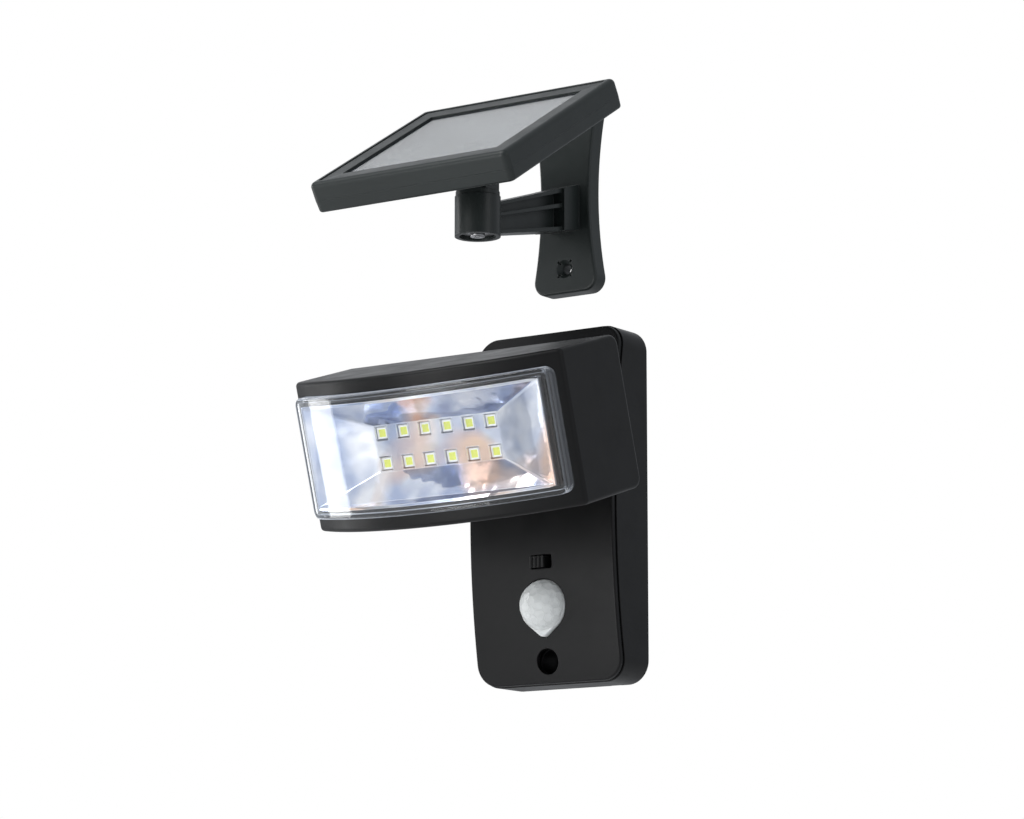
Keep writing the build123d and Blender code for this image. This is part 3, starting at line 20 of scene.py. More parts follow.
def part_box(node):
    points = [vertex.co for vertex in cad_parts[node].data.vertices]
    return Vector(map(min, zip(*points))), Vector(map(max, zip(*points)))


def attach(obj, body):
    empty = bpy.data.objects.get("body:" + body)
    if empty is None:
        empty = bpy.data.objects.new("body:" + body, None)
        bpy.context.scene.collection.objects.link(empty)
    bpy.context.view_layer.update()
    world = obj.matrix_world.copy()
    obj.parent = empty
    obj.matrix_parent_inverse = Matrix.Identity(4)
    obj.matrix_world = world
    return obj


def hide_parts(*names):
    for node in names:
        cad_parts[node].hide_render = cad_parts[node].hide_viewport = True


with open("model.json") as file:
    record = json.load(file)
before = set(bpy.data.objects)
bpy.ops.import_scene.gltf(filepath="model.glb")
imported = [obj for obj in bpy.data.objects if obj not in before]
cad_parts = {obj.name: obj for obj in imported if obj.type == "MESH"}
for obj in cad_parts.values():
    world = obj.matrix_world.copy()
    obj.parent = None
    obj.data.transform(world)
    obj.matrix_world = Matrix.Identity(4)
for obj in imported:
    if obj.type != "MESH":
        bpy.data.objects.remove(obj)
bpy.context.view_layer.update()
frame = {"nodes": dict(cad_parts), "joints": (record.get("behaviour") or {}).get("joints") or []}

log = logging.getLogger("flood_light")
MM = 0.001
Colour = tuple[float, float, float]
Mesh = bmesh.types.BMesh
Socket = bpy.types.NodeSocket
DUST = (0.11, 0.108, 0.1, 1)

# right, up and out for a piece seen from each side of the whole object
FRONT_AXES = (Vector((1, 0, 0)), Vector((0, 0, 1)), Vector((0, -1, 0)))
BACK_AXES = (Vector((-1, 0, 0)), Vector((0, 0, 1)), Vector((0, 1, 0)))
SIDE_AXES = (Vector((0, 1, 0)), Vector((0, 0, 1)), Vector((1, 0, 0)))
TOP_AXES = (Vector((1, 0, 0)), Vector((0, 1, 0)), Vector((0, 0, 1)))
UNDER_AXES = (Vector((1, 0, 0)), Vector((0, -1, 0)), Vector((0, 0, -1)))


class Body(str, Enum):
    """The rigid bodies that the built pieces ride on."""

    WALL = "wall_parts"
    HEAD = "lamp_head"
    POST = "panel_post"
    PANEL = "panel_unit"


class Slot(str, Enum):
    """The record's material slots, passed along with the built pieces."""

    STEEL = "steel"
    SENSOR = "sensor_plastic"
    LED = "led"
    MIRROR = "mirror_plastic"


class Drive(Enum):
    """What a screw's head is turned by."""

    CROSS = 4
    HEXAGON = 6


# ---- shader building ----


class Graph:
    """A shader node tree, with short ways to add and join its nodes."""

    def __init__(self, tree: bpy.types.NodeTree) -> None:
        """Takes the tree to work on.

        Args:
            tree: a material's, world's or group's node tree.
        """
        self.tree = tree

    def add(self, kind: str, inputs: dict | None = None, **settings: object) -> bpy.types.Node:
        """Adds a node.

        Args:
            kind: the node's type, without its ShaderNode prefix.
            inputs: values or sockets for the node's inputs, by name or number.
            **settings: the node's own properties.

        Returns:
            The new node.
        """
        node = self.tree.nodes.new("ShaderNode" + kind)
        for name, value in settings.items():
            setattr(node, name, value)
        for name, value in (inputs or {}).items():
            self.feed(node.inputs[name], value)
        return node

    def feed(self, socket: Socket, value: object) -> None:
        """Links a socket to another, or sets its value.

        Args:
            socket: the input.
            value: an output socket, a number, or a colour.
        """
        if isinstance(value, Socket):
            self.tree.links.new(value, socket)
        else:
            socket.default_value = value

    def maths(self, operation: str, *values: object, clamp: bool = False) -> Socket:
        """Adds a Math node.

        Args:
            operation: its operation.
            *values: its inputs, in order.
            clamp: whether the result is held between 0 and 1.

        Returns:
            Its output.
        """
        node = self.add("Math", dict(enumerate(values)), operation=operation, use_clamp=clamp)
        return node.outputs[0]

    def spread(self, value: object, low: float, high: float, to: tuple[float, float] = (0.0, 1.0)):
        """Maps a value's range to another, held at its ends.

        Args:
            value: the input.
            low: input that gives the first of to.
            high: input that gives the second of to.
            to: the two results.

        Returns:
            The mapped value.
        """
        inputs = {"Value": value, "From Min": low, "From Max": high, "To Min": to[0], "To Max": to[1]}
        return self.add("MapRange", inputs, clamp=True).outputs[0]

    def blend(self, share: object, first: object, second: object) -> Socket:
        """Mixes two colours.

        Args:
            share: how much of the second.
            first: a colour or socket.
            second: a colour or socket.

        Returns:
            The mixed colour.
        """
        node = self.add("Mix", data_type="RGBA")
        self.feed(node.inputs[0], share)
        self.feed(node.inputs[6], first)
        self.feed(node.inputs[7], second)
        return node.outputs[2]

    def here(self) -> Socket:
        """The Object coordinates."""
        return self.add("TexCoord").outputs["Object"]

    def noise(self, scale: object, detail: float = 3.0, roughness: float = 0.5, vector=None):
        """A noise pattern.

        Args:
            scale: its scale, per metre.
            detail: its octaves.
            roughness: how strong its fine octaves are.
            vector: coordinates, the Object ones by default.

        Returns:
            Its value.
        """
        inputs = {"Vector": vector or self.here(), "Scale": scale, "Detail": detail, "Roughness": roughness}
        return self.add("TexNoise", inputs).outputs[0]


def shader_group(name: str, inputs: dict[str, float], outputs: Sequence[str], build: Callable):
    """Makes a shader node group once, and gives it again when asked.

    Args:
        name: the group's name.
        inputs: names and starting values of its inputs.
        outputs: names of its outputs; one called Normal is a vector.
        build: wires the group from a Graph and its input node, and returns its outputs by name.

    Returns:
        The node group.
    """
    if name in bpy.data.node_groups:
        return bpy.data.node_groups[name]
    tree = bpy.data.node_groups.new(name, "ShaderNodeTree")
    for label, value in inputs.items():
        socket = tree.interface.new_socket(label, in_out="INPUT", socket_type="NodeSocketFloat")
        socket.default_value = value
    for label in outputs:
        kind = "NodeSocketVector" if label == "Normal" else "NodeSocketFloat"
        tree.interface.new_socket(label, in_out="OUTPUT", socket_type=kind)
    way_in = tree.nodes.new("NodeGroupInput")
    way_out = tree.nodes.new("NodeGroupOutput")
    graph = Graph(tree)
    for label, socket in build(graph, way_in.outputs).items():
        tree.links.new(socket, way_out.inputs[label])
    return tree


def edge_wear_and_highlight() -> bpy.types.NodeTree:
    """Group that finds a moulding's edges, and rounds them in its normal; its broken Mask is wear, its plain
    Edge feeds the reflector's painted highlight.
    """

    def build(g: Graph, given) -> dict:
        """Compares the rounded normal with the true one."""
        rounded = g.add("Bevel", {"Radius": given["Radius"]}, samples=4).outputs[0]
        true_normal = g.add("NewGeometry").outputs["Normal"]
        along = g.add("VectorMath", {0: rounded, 1: true_normal}, operation="DOT_PRODUCT").outputs["Value"]
        edge = g.spread(along, 0.995, 0.86)
        broken = g.spread(g.noise(260.0, 5.0, 0.65), 0.42, 0.62)
        mask = g.maths("MULTIPLY", g.maths("MULTIPLY", edge, broken), given["Amount"], clamp=True)
        return {"Mask": mask, "Edge": edge, "Normal": rounded}

    return shader_group("edge_wear_and_highlight", {"Radius": 0.0004, "Amount": 0.5}, ("Mask", "Edge", "Normal"), build)


def moulded_grain() -> bpy.types.NodeTree:
    """Group for the fine spark-etched texture of an injection moulding."""

    def build(g: Graph, given) -> dict:
        """Adds pits to a fine noise, and a slow drift in shade."""
        fine = g.noise(given["Scale"], 2.0, 0.6)
        pits = g.add("TexVoronoi", {"Vector": g.here(), "Scale": given["Scale"]}, feature="F1")
        height = g.maths("MULTIPLY_ADD", pits.outputs["Distance"], 0.5, fine)
        drift = g.spread(g.noise(22.0, 3.0, 0.55), 0.3, 0.7)
        flow = g.spread(g.noise(60.0, 4.0, 0.7), 0.35, 0.7)
        return {"Height": g.maths("MULTIPLY", height, given["Depth"]), "Drift": drift, "Flow": flow}

    return shader_group("moulded_grain", {"Scale": 2600.0, "Depth": 1.0}, ("Height", "Drift", "Flow"), build)


def settled_dust() -> bpy.types.NodeTree:
    """Group for pale dust that lies on faces that look up."""

    def build(g: Graph, given) -> dict:
        """Weights a patchy noise by how level the face is."""
        normal = g.add("NewGeometry").outputs["Normal"]
        level = g.spread(g.add("SeparateXYZ", {0: normal}).outputs["Z"], 0.25, 0.95)
        patches = g.spread(g.noise(70.0, 6.0, 0.7), 0.4, 0.72)
        specks = g.spread(g.noise(1400.0, 2.0, 0.6), 0.6, 0.75)
        cover = g.maths("MULTIPLY_ADD", specks, 0.35, patches)
        mask = g.maths("MULTIPLY", g.maths("MULTIPLY", level, cover), given["Amount"], clamp=True)
        return {"Mask": mask}

    return shader_group("settled_dust", {"Amount": 0.1}, ("Mask",), build)


def fine_scuffs() -> bpy.types.NodeTree:
    """Group for hairline rub marks, as shallow roughness changes."""

    def build(g: Graph, given) -> dict:
        """Stretches a noise two ways and keeps its crests."""
        marks = []
        for turn, stretch in ((0.5, (1.0, 0.05, 1.0)), (-0.9, (0.06, 1.0, 0.4))):
            way = g.add("Mapping", {"Vector": g.here(), "Rotation": (0.3, turn, turn), "Scale": stretch})
            marks.append(g.spread(g.noise(given["Scale"], 2.0, 0.5, way.outputs[0]), 0.66, 0.74))
        mask = g.maths("MULTIPLY", g.maths("MAXIMUM", *marks), given["Amount"], clamp=True)
        return {"Mask": mask}

    return shader_group("fine_scuffs", {"Scale": 900.0, "Amount": 0.3}, ("Mask",), build)


# ---- finishes ----


@dataclass(frozen=True)
class Finish:
    """What every finish shares: a name, and a way to become a material once."""

    name: str

    def material(self) -> bpy.types.Material:
        """The finish's material, built the first time it is asked for."""
        if self.name in bpy.data.materials:
            return bpy.data.materials[self.name]
        made = bpy.data.materials.new(self.name)
        made.use_nodes = True
        made.node_tree.nodes.clear()
        graph = Graph(made.node_tree)
        graph.add("OutputMaterial", {"Surface": self.surface(graph)})
        return made

    def surface(self, g: Graph) -> Socket:
        """Wires the finish and returns its shader.

        Args:
            g: the material's graph.
        """
        raise NotImplementedError

    def group(self, g: Graph, tree: bpy.types.NodeTree, **values: float) -> bpy.types.NodeOutputs:
        """Places a shared group.

        Args:
            g: the material's graph.
            tree: the group.
            **values: its inputs.

        Returns:
            Its outputs.
        """
        node = g.add("Group", node_tree=tree)
        for label, value in values.items():
            node.inputs[label].default_value = value
        return node.outputs


@dataclass(frozen=True)
class MouldedPlastic(Finish):
    """Satin plastic from a mould: fine grain, rubbed edges, a little dust."""

    colour: Colour = (0.01, 0.01, 0.011)
    rubbed: Colour = (0.05, 0.05, 0.052)
    roughness: float = 0.42
    grain: float = 2600.0
    depth: float = 0.00004
    radius: float = 0.0005
    wear: float = 0.35
    dust: float = 0.1
    gloss: float = 0.25

    def surface(self, g: Graph) -> Socket:
        """Grain in the normal, wear and dust in the colour, flow marks in the roughness."""
        edges = self.group(g, edge_wear_and_highlight(), Radius=self.radius, Amount=self.wear)
        grain = self.group(g, moulded_grain(), Scale=self.grain)
        dust = self.group(g, settled_dust(), Amount=self.dust)
        scuffs = self.group(g, fine_scuffs(), Amount=0.5)
        deep = tuple(c * 0.78 for c in self.colour)
        shade = g.blend(grain["Drift"], (*deep, 1), (*self.colour, 1))
        shade = g.blend(edges["Mask"], shade, (*self.rubbed, 1))
        shade = g.blend(dust["Mask"], shade, DUST)
        rough = g.spread(grain["Flow"], 0.0, 1.0, (self.roughness - 0.05, self.roughness + 0.06))
        rough = g.maths("MULTIPLY_ADD", scuffs["Mask"], 0.1, rough)
        rough = g.maths("MULTIPLY_ADD", dust["Mask"], 0.25, rough, clamp=True)
        bump = g.add("Bump", {"Strength": 0.35, "Distance": self.depth, "Height": grain["Height"]})
        g.feed(bump.inputs["Normal"], edges["Normal"])
        inputs = {
            "Base Color": shade,
            "Roughness": rough,
            "Normal": bump.outputs[0],
            "IOR": 1.49,
            "Specular IOR Level": self.gloss,
        }
        return g.add("BsdfPrincipled", inputs).outputs[0]


@dataclass(frozen=True)
class ClearPlastic(Finish):
    """Clear moulded plastic or glass that lets light through to what is behind."""

    tint: Colour = (0.97, 0.985, 1.0)
    roughness: float = 0.02
    ripple: float = 0.00002
    ior: float = 1.49
    # edge is the colour of a painted glow on the grazing edges, and the field after it is that glow's
    # strength.
    edge: Colour = (0.75, 0.82, 0.95)
    painted_edge_glow: float = 0.5

    def surface(self, g: Graph) -> Socket:
        """Refracts what is seen, passes shadow rays straight through, and paints a pale glow on the grazing
        edges as emission, standing in for their highlights.
        """
        scuffs = self.group(g, fine_scuffs(), Amount=0.6)
        dust = self.group(g, settled_dust(), Amount=0.05)
        wave = g.noise(90.0, 2.0, 0.4)
        bump = g.add("Bump", {"Strength": 0.2, "Distance": self.ripple, "Height": wave})
        gloss = g.maths("MULTIPLY_ADD", scuffs["Mask"], 0.05, self.roughness)
        gloss = g.maths("MULTIPLY_ADD", dust["Mask"], 0.4, gloss)
        # Painted highlight: the facing weight, raised to a power, makes the grazing edges emit the edge
        # colour.
        facing = g.add("LayerWeight", {"Blend": 0.5}).outputs["Facing"]
        rim = g.maths("POWER", facing, 3.0)
        inputs = {
            "Base Color": (*self.tint, 1),
            "Roughness": gloss,
            "Normal": bump.outputs[0],
            "IOR": self.ior,
            "Transmission Weight": 1.0,
            "Emission Color": g.blend(rim, (0, 0, 0, 1), (*self.edge, 1)),
            "Emission Strength": self.painted_edge_glow,
        }
        body = g.add("BsdfPrincipled", inputs).outputs[0]
        clear = g.add("BsdfTransparent", {"Color": (*self.tint, 1)}).outputs[0]
        shadow = g.add("LightPath").outputs["Is Shadow Ray"]
        return g.add("MixShader", {0: shadow, 1: body, 2: clear}).outputs[0]


@dataclass(frozen=True)
class MirrorCoat(Finish):
    """Plastic with an evaporated aluminium coat: bright, slightly rippled, with painted reflections of its
    surroundings.
    """

    light: Colour = (0.84, 0.84, 0.86)
    painted_blue_reflection: Colour = (0.4, 0.46, 0.62)
    painted_orange_reflection: Colour = (0.78, 0.56, 0.44)

    def surface(self, g: Graph) -> Socket:
        """Soft ripples on a metal; its pale colour carries bluish and orange patches of painted reflection,
        and its edges a painted white highlight.
        """
        ripple = g.noise(55.0, 2.0, 0.45)
        fold = g.add("TexVoronoi", {"Vector": g.here(), "Scale": 75.0}, feature="SMOOTH_F1")
        height = g.maths("MULTIPLY_ADD", fold.outputs["Distance"], 0.35, ripple)
        bump = g.add("Bump", {"Strength": 0.45, "Distance": 0.0012, "Height": height})
        # Painted reflection: bluish and orange patches in the metal's colour stand in for the surroundings
        # that it mirrors.
        painted_blue_reflection = g.spread(g.noise(38.0, 2.5, 0.5), 0.4, 0.58)
        place = g.add("Mapping", {"Vector": g.here(), "Location": (0.3, 0.1, 0.2)}).outputs[0]
        painted_orange_reflection = g.spread(g.noise(26.0, 2.0, 0.4, place), 0.56, 0.68)
        shade = g.blend(painted_blue_reflection, (*self.light, 1), (*self.painted_blue_reflection, 1))
        shade = g.blend(painted_orange_reflection, shade, (*self.painted_orange_reflection, 1))
        # Painted highlight: the plain edge mask whitens the mirror metal along every edge and fold.
        edges = self.group(g, edge_wear_and_highlight(), Radius=0.0007, Amount=1.0)
        shade = g.blend(g.maths("MULTIPLY", edges["Edge"], 0.8), shade, (1.0, 1.0, 1.0, 1))
        gloss = g.spread(g.noise(200.0, 4.0, 0.6), 0.3, 0.7, (0.03, 0.08))
        inputs = {"Base Color": shade, "Metallic": 1.0, "Roughness": gloss, "Normal": bump.outputs[0]}
        return g.add("BsdfPrincipled", inputs).outputs[0]


@dataclass(frozen=True)
class SensorPlastic(Finish):
    """Milky film plastic, moulded into small lens cells."""

    colour: Colour = (0.80, 0.82, 0.81)

    def surface(self, g: Graph) -> Socket:
        """Shallow lens cells in the normal over a soft, light-passing body."""
        cells = g.add("TexVoronoi", {"Vector": g.here(), "Scale": 230.0, "Randomness": 0.75}, feature="F1")
        bump = g.add("Bump", {"Strength": 0.3, "Distance": 0.0004, "Height": cells.outputs["Distance"]})
        cloud = g.spread(g.noise(160.0, 3.0, 0.5), 0.3, 0.7)
        deep = tuple(c * 0.9 for c in self.colour)
        shade = g.blend(cloud, (*deep, 1), (*self.colour, 1))
        inputs = {
            "Base Color": shade,
            "Roughness": g.spread(cloud, 0.0, 1.0, (0.22, 0.34)),
            "Normal": bump.outputs[0],
            "Subsurface Weight": 0.35,
            "Subsurface Radius": (0.004, 0.004, 0.004),
            "Subsurface Scale": 0.5,
        }
        return g.add("BsdfPrincipled", inputs).outputs[0]


@dataclass(frozen=True)
class Metal(Finish):
    """Plated or stamped metal with fine turning marks."""

    colour: Colour = (0.55, 0.55, 0.56)
    roughness: float = 0.32
    grain: float = 1500.0

    def surface(self, g: Graph) -> Socket:
        """Cloudy plating, darker in patches."""
        edges = self.group(g, edge_wear_and_highlight(), Radius=0.0002, Amount=0.6)
        scuffs = self.group(g, fine_scuffs(), Scale=2500.0, Amount=0.7)
        cloud = g.spread(g.noise(420.0, 5.0, 0.65), 0.3, 0.7)
        dull = tuple(c * 0.72 for c in self.colour)
        shade = g.blend(cloud, (*dull, 1), (*self.colour, 1))
        shade = g.blend(edges["Mask"], shade, (0.8, 0.8, 0.8, 1))
        gloss = g.maths("MULTIPLY_ADD", scuffs["Mask"], 0.15, self.roughness)
        bump = g.add("Bump", {"Strength": 0.2, "Distance": 0.00002, "Height": g.noise(self.grain, 3.0)})
        g.feed(bump.inputs["Normal"], edges["Normal"])
        inputs = {"Base Color": shade, "Metallic": 1.0, "Roughness": gloss, "Normal": bump.outputs[0]}
        return g.add("BsdfPrincipled", inputs).outputs[0]


@dataclass(frozen=True)
class SolarCell(Finish):
    """Dark silicon strips with fine silver fingers, under a clear sheet."""

    colour: Colour = (0.035, 0.045, 0.055)
    strip: float = 0.0098
    finger: float = 0.0019

    def surface(self, g: Graph) -> Socket:
        """Crystal-like shade drift, with strip gaps and fingers ruled across one way."""
        across = g.add("SeparateXYZ", {0: g.here()}).outputs["X"]
        gap = self.line(g, across, self.strip, 0.055)
        finger = self.line(g, across, self.finger, 0.06)
        drift = g.spread(g.noise(35.0, 4.0, 0.6), 0.3, 0.7)
        light = tuple(c * 1.35 for c in self.colour)
        shade = g.blend(drift, (*self.colour, 1), (*light, 1))
        shade = g.blend(g.maths("MULTIPLY", finger, 0.16), shade, (0.22, 0.24, 0.26, 1))
        shade = g.blend(g.maths("MULTIPLY", gap, 0.5), shade, (0.012, 0.014, 0.016, 1))
        gloss = g.spread(drift, 0.0, 1.0, (0.2, 0.3))
        inputs = {"Base Color": shade, "Roughness": gloss, "Coat Weight": 0.6, "Coat Roughness": 0.05}
        return g.add("BsdfPrincipled", inputs).outputs[0]

    def line(self, g: Graph, where: object, pitch: float, width: float) -> Socket:
        """Thin lines at an even pitch.

        Args:
            g: the material's graph.
            where: the coordinate that they are ruled across.
            pitch: their spacing, in metres.
            width: the share of the pitch that each covers.

        Returns:
            A mask that is 1 on a line.
        """
        phase = g.maths("FRACT", g.maths("DIVIDE", where, pitch))
        middle = g.maths("ABSOLUTE", g.maths("SUBTRACT", phase, 0.5))
        return g.spread(middle, width, width * 0.6)


@dataclass(frozen=True)
class Coated(Finish):
    """A coloured coat with small-scale mottling: solder mask, shrink wrap, phosphor, ceramic."""

    colour: Colour = (0.8, 0.8, 0.8)
    second: Colour = (0.7, 0.7, 0.7)
    roughness: float = 0.35
    scale: float = 500.0
    depth: float = 0.00003

    def surface(self, g: Graph) -> Socket:
        """Mottles the colour and the gloss with one noise."""
        mottle = g.spread(g.noise(self.scale, 4.0, 0.6), 0.35, 0.65)
        shade = g.blend(mottle, (*self.second, 1), (*self.colour, 1))
        gloss = g.spread(mottle, 0.0, 1.0, (self.roughness + 0.08, self.roughness - 0.04))
        bump = g.add("Bump", {"Strength": 0.3, "Distance": self.depth, "Height": mottle})
        inputs = {"Base Color": shade, "Roughness": gloss, "Normal": bump.outputs[0]}
        return g.add("BsdfPrincipled", inputs).outputs[0]


HOUSING = MouldedPlastic(
    "housing_satin_black",
    colour=(0.0045, 0.0045, 0.0048),
    rubbed=(0.03, 0.03, 0.03),
    roughness=0.4,
    dust=0.05,
)
HEAD_BLACK = MouldedPlastic(
    "head_satin_black",
    colour=(0.0048, 0.0048, 0.005),
    rubbed=(0.035, 0.035, 0.035),
    roughness=0.38,
    dust=0.04,
)
BRACKET = MouldedPlastic(
    "bracket_dark_grey",
    colour=(0.019, 0.0245, 0.0235),
    rubbed=(0.075, 0.085, 0.085),
    roughness=0.4,
    gloss=0.42,
    dust=0.06,
)
KNOB = MouldedPlastic("knob_black", colour=(0.012, 0.012, 0.012), roughness=0.5, wear=0.6)
INNER = MouldedPlastic("inner_black", colour=(0.03, 0.03, 0.03), roughness=0.55, wear=0.2, dust=0.0)
RUBBER = MouldedPlastic(
    "seal_rubber", colour=(0.008, 0.008, 0.008), roughness=0.75, grain=1400.0, wear=0.1, dust=0.15
)
# The lens carries the full painted glow on its grazing edges.
LENS_CLEAR = ClearPlastic("lens_clear")
# The panel glass keeps a faint painted glow on its grazing edges.
COVER_GLASS = ClearPlastic(
    "panel_glass_clear", tint=(0.93, 0.96, 0.97), roughness=0.05, ior=1.5, painted_edge_glow=0.02
)
MIRROR = MirrorCoat("reflector_mirror")
DOME = SensorPlastic("sensor_milky")
STEEL = Metal("screw_zinc")
SENSOR_CAN = Metal("sensor_can", colour=(0.62, 0.58, 0.5), roughness=0.25)
CELL = SolarCell("solar_cell")
SOLDER_MASK = Coated("board_white", colour=(0.82, 0.84, 0.82), second=(0.74, 0.77, 0.75))
WRAP = Coated(
    "battery_wrap", colour=(0.03, 0.18, 0.09), second=(0.02, 0.14, 0.07), roughness=0.3, scale=90.0
)
LED_BODY = Coated("led_body", colour=(0.86, 0.86, 0.84), second=(0.8, 0.8, 0.78), roughness=0.3)
PHOSPHOR = Coated(
    "led_phosphor", colour=(0.72, 0.76, 0.12), second=(0.6, 0.66, 0.08), roughness=0.2, scale=900.0
)

FINISH_NODES: dict[Finish, str] = {
    HOUSING: "rear_housing front_cover neck",
    RUBBER: "cover_seal cable_grommet head_grommet lens_seal panel_seal panel_grommet",
    STEEL: (
        "cover_screws swivel_pin swivel_nut head_cover_screws reflector_screws "
        "led_board_screws tilt_bolt tilt_nut post_washer post_screw panel_bolt panel_nut "
        "foot_screws panel_screws"
    ),
    DOME: "sensor_dome",
    INNER: "dome_clip switch_body battery_tray",
    SENSOR_CAN: "motion_sensor",
    SOLDER_MASK: "control_board led_board",
    KNOB: "switch_knob",
    WRAP: "battery_cells",
    HEAD_BLACK: "head_shell head_rear_cover",
    LENS_CLEAR: "lens",
    MIRROR: "reflector",
    LED_BODY: "led_chips",
    BRACKET: "panel_bracket swivel_post panel_frame panel_back panel_foot",
    COVER_GLASS: "panel_glass",
    CELL: "solar_cells",
}
NODE_FINISHES = {node: finish for finish, nodes in FINISH_NODES.items() for node in nodes.split()}


# ---- pieces ----


@dataclass(frozen=True)
class Place:
    """A spot to build at: an origin and three directions in the row frame."""

    origin: Vector
    right: Vector
    up: Vector
    out: Vector

    def matrix(self) -> Matrix:
        """The transform from a piece's own X, Y, Z to right, up, out at the origin."""
        turn = Matrix((self.right, self.up, self.out)).transposed().to_4x4()
        return Matrix.Translation(self.origin) @ turn

    def moved(self, right: float = 0.0, up: float = 0.0, out: float = 0.0) -> "Place":
        """The same directions at a point moved along them.

        Args:
            right: metres to the right.
            up: metres up.
            out: metres out.
        """
        point = self.origin + self.right * right + self.up * up + self.out * out
        return Place(point, self.right, self.up, self.out)


def soften(mesh: Mesh, geom: list, offset: float, segments: int, affect: str = "EDGES") -> None:
    """Bevels edges or corners.

    Args:
        mesh: the bmesh.
        geom: the edges or vertices.
        offset: how far the bevel reaches, in metres.
        segments: its steps.
        affect: EDGES or VERTICES.
    """
    bmesh.ops.bevel(
        mesh,
        geom=geom,
        offset=offset,
        offset_type="OFFSET",
        affect=affect,
        segments=segments,
        profile=0.5,
        material=-1,
    )


def turned(mesh: Mesh, segments: int, radius: float, depth: float, foot: float = 0.0) -> list:
    """Adds a capped cylinder, or a cone when its foot is given, along Z about the middle.

    Args:
        mesh: the bmesh to add to.
        segments: its sides.
        radius: its radius, at the top.
        depth: its length.
        foot: its radius at the bottom, where that differs.

    Returns:
        Its vertices.
    """
    low = foot or radius
    made = bmesh.ops.create_cone(
        mesh, cap_ends=True, segments=segments, radius1=low, radius2=radius, depth=depth
    )
    return made["verts"]


def lift(mesh: Mesh, verts: list, rise: float) -> None:
    """Moves vertices along Z."""
    bmesh.ops.translate(mesh, verts=verts, vec=(0, 0, rise))


def block(mesh: Mesh, size: Colour) -> list:
    """Adds a box about the middle and returns its vertices.

    Args:
        mesh: the bmesh to add to.
        size: its three sizes.
    """
    verts = bmesh.ops.create_cube(mesh, size=1.0)["verts"]
    bmesh.ops.scale(mesh, verts=verts, vec=size)
    return verts


def finish_mesh(name: str, mesh: Mesh, finishes: Sequence[Finish], smooth_angle: float = 35.0):
    """Turns a bmesh into an object with its finishes.

    Args:
        name: the piece's name.
        mesh: the bmesh, which is freed.
        finishes: the finishes, in the order of the faces' material numbers.
        smooth_angle: edges sharper than this many degrees stay sharp.

    Returns:
        The object.
    """
    for face in mesh.faces:
        face.smooth = True
    for edge in mesh.edges:
        if len(edge.link_faces) == 2 and edge.calc_face_angle(0.0) > radians(smooth_angle):
            edge.smooth = False
    data = bpy.data.meshes.new(name)
    mesh.to_mesh(data)
    mesh.free()
    for each in finishes:
        data.materials.append(each.material())
    made = bpy.data.objects.new(name, data)
    bpy.context.scene.collection.objects.link(made)
    return made


def settle(piece: bpy.types.Object, body: Body, slot: Slot, *replaced: str) -> bpy.types.Object:
    """Puts a piece on its body and hides the CAD nodes that it stands for.

    Args:
        piece: the object.
        body: what it rides on.
        slot: the record's slot for its finish; not used.
        *replaced: CAD nodes that it stands for.
    """
    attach(piece, body.value)
    if replaced:
        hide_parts(*replaced)
    log.info("piece %s rides on %s", piece.name, body.value)
    return piece


@dataclass(frozen=True)
class Screw:
    """A pan-head screw with a recessed drive. Its constants are shares of its radii and head height."""

    SHANK_TAPER: ClassVar[float] = 0.7
    RIM_SHARE: ClassVar[float] = 0.38
    DRIVE_DEPTH: ClassVar[float] = 0.55
    DRIVE_TAPER: ClassVar[float] = 0.82
    ROUNDING: ClassVar[float] = 0.38
    SOCKET_REACH: ClassVar[float] = 0.8
    CROSS_ARM: ClassVar[float] = radians(16)
    CROSS_WAIST: ClassVar[float] = 0.36

    shank_r: float
    shank_l: float
    head_r: float
    head_t: float
    drive: Drive = Drive.CROSS

    def build(self, mesh: Mesh, place: Place) -> None:
        """Adds the screw to a bmesh, its head's seat at a place.

        Args:
            mesh: the bmesh to add to.
            place: the seat; out is the way that the head faces.
        """
        before = set(mesh.verts)
        shank = turned(mesh, 24, self.shank_r, self.shank_l, self.shank_r * self.SHANK_TAPER)
        lift(mesh, shank, -self.shank_l / 2)
        head = turned(mesh, 48, self.head_r, self.head_t)
        lift(mesh, head, self.head_t / 2)
        faces = {f for v in head for f in v.link_faces}
        top = max((f for f in faces if len(f.verts) > 4), key=lambda f: f.calc_center_median().z)
        rim = list(top.edges)
        bmesh.ops.inset_region(mesh, faces=[top], thickness=self.head_r * self.RIM_SHARE)
        for vert in top.verts:
            angle = Vector((vert.co.x, vert.co.y)).angle_signed(Vector((1, 0)), 0.0)
            scale = self.reach(angle) * self.head_r * (1 - self.RIM_SHARE) / hypot(vert.co.x, vert.co.y)
            vert.co.x *= scale
            vert.co.y *= scale
        sunk = bmesh.ops.extrude_discrete_faces(mesh, faces=[top])["faces"][0]
        lift(mesh, list(sunk.verts), -self.head_t * self.DRIVE_DEPTH)
        bmesh.ops.scale(mesh, verts=list(sunk.verts), vec=(self.DRIVE_TAPER, self.DRIVE_TAPER, 1.0))
        soften(mesh, rim, self.head_t * self.ROUNDING, 4)
        added = [v for v in mesh.verts if v not in before]
        bmesh.ops.transform(mesh, matrix=place.matrix(), verts=added)

    def reach(self, angle: float) -> float:
        """How far the recess's outline reaches at an angle, as a share of its largest.

        Args:
            angle: radians round the screw's axis.
        """
        part = 2 * pi / self.drive.value
        off = abs((angle + part / 2) % part - part / 2)
        if self.drive is Drive.HEXAGON:
            return cos(pi / 6) / cos(pi / 6 - off) * self.SOCKET_REACH
        return 1.0 if off < self.CROSS_ARM else self.CROSS_WAIST


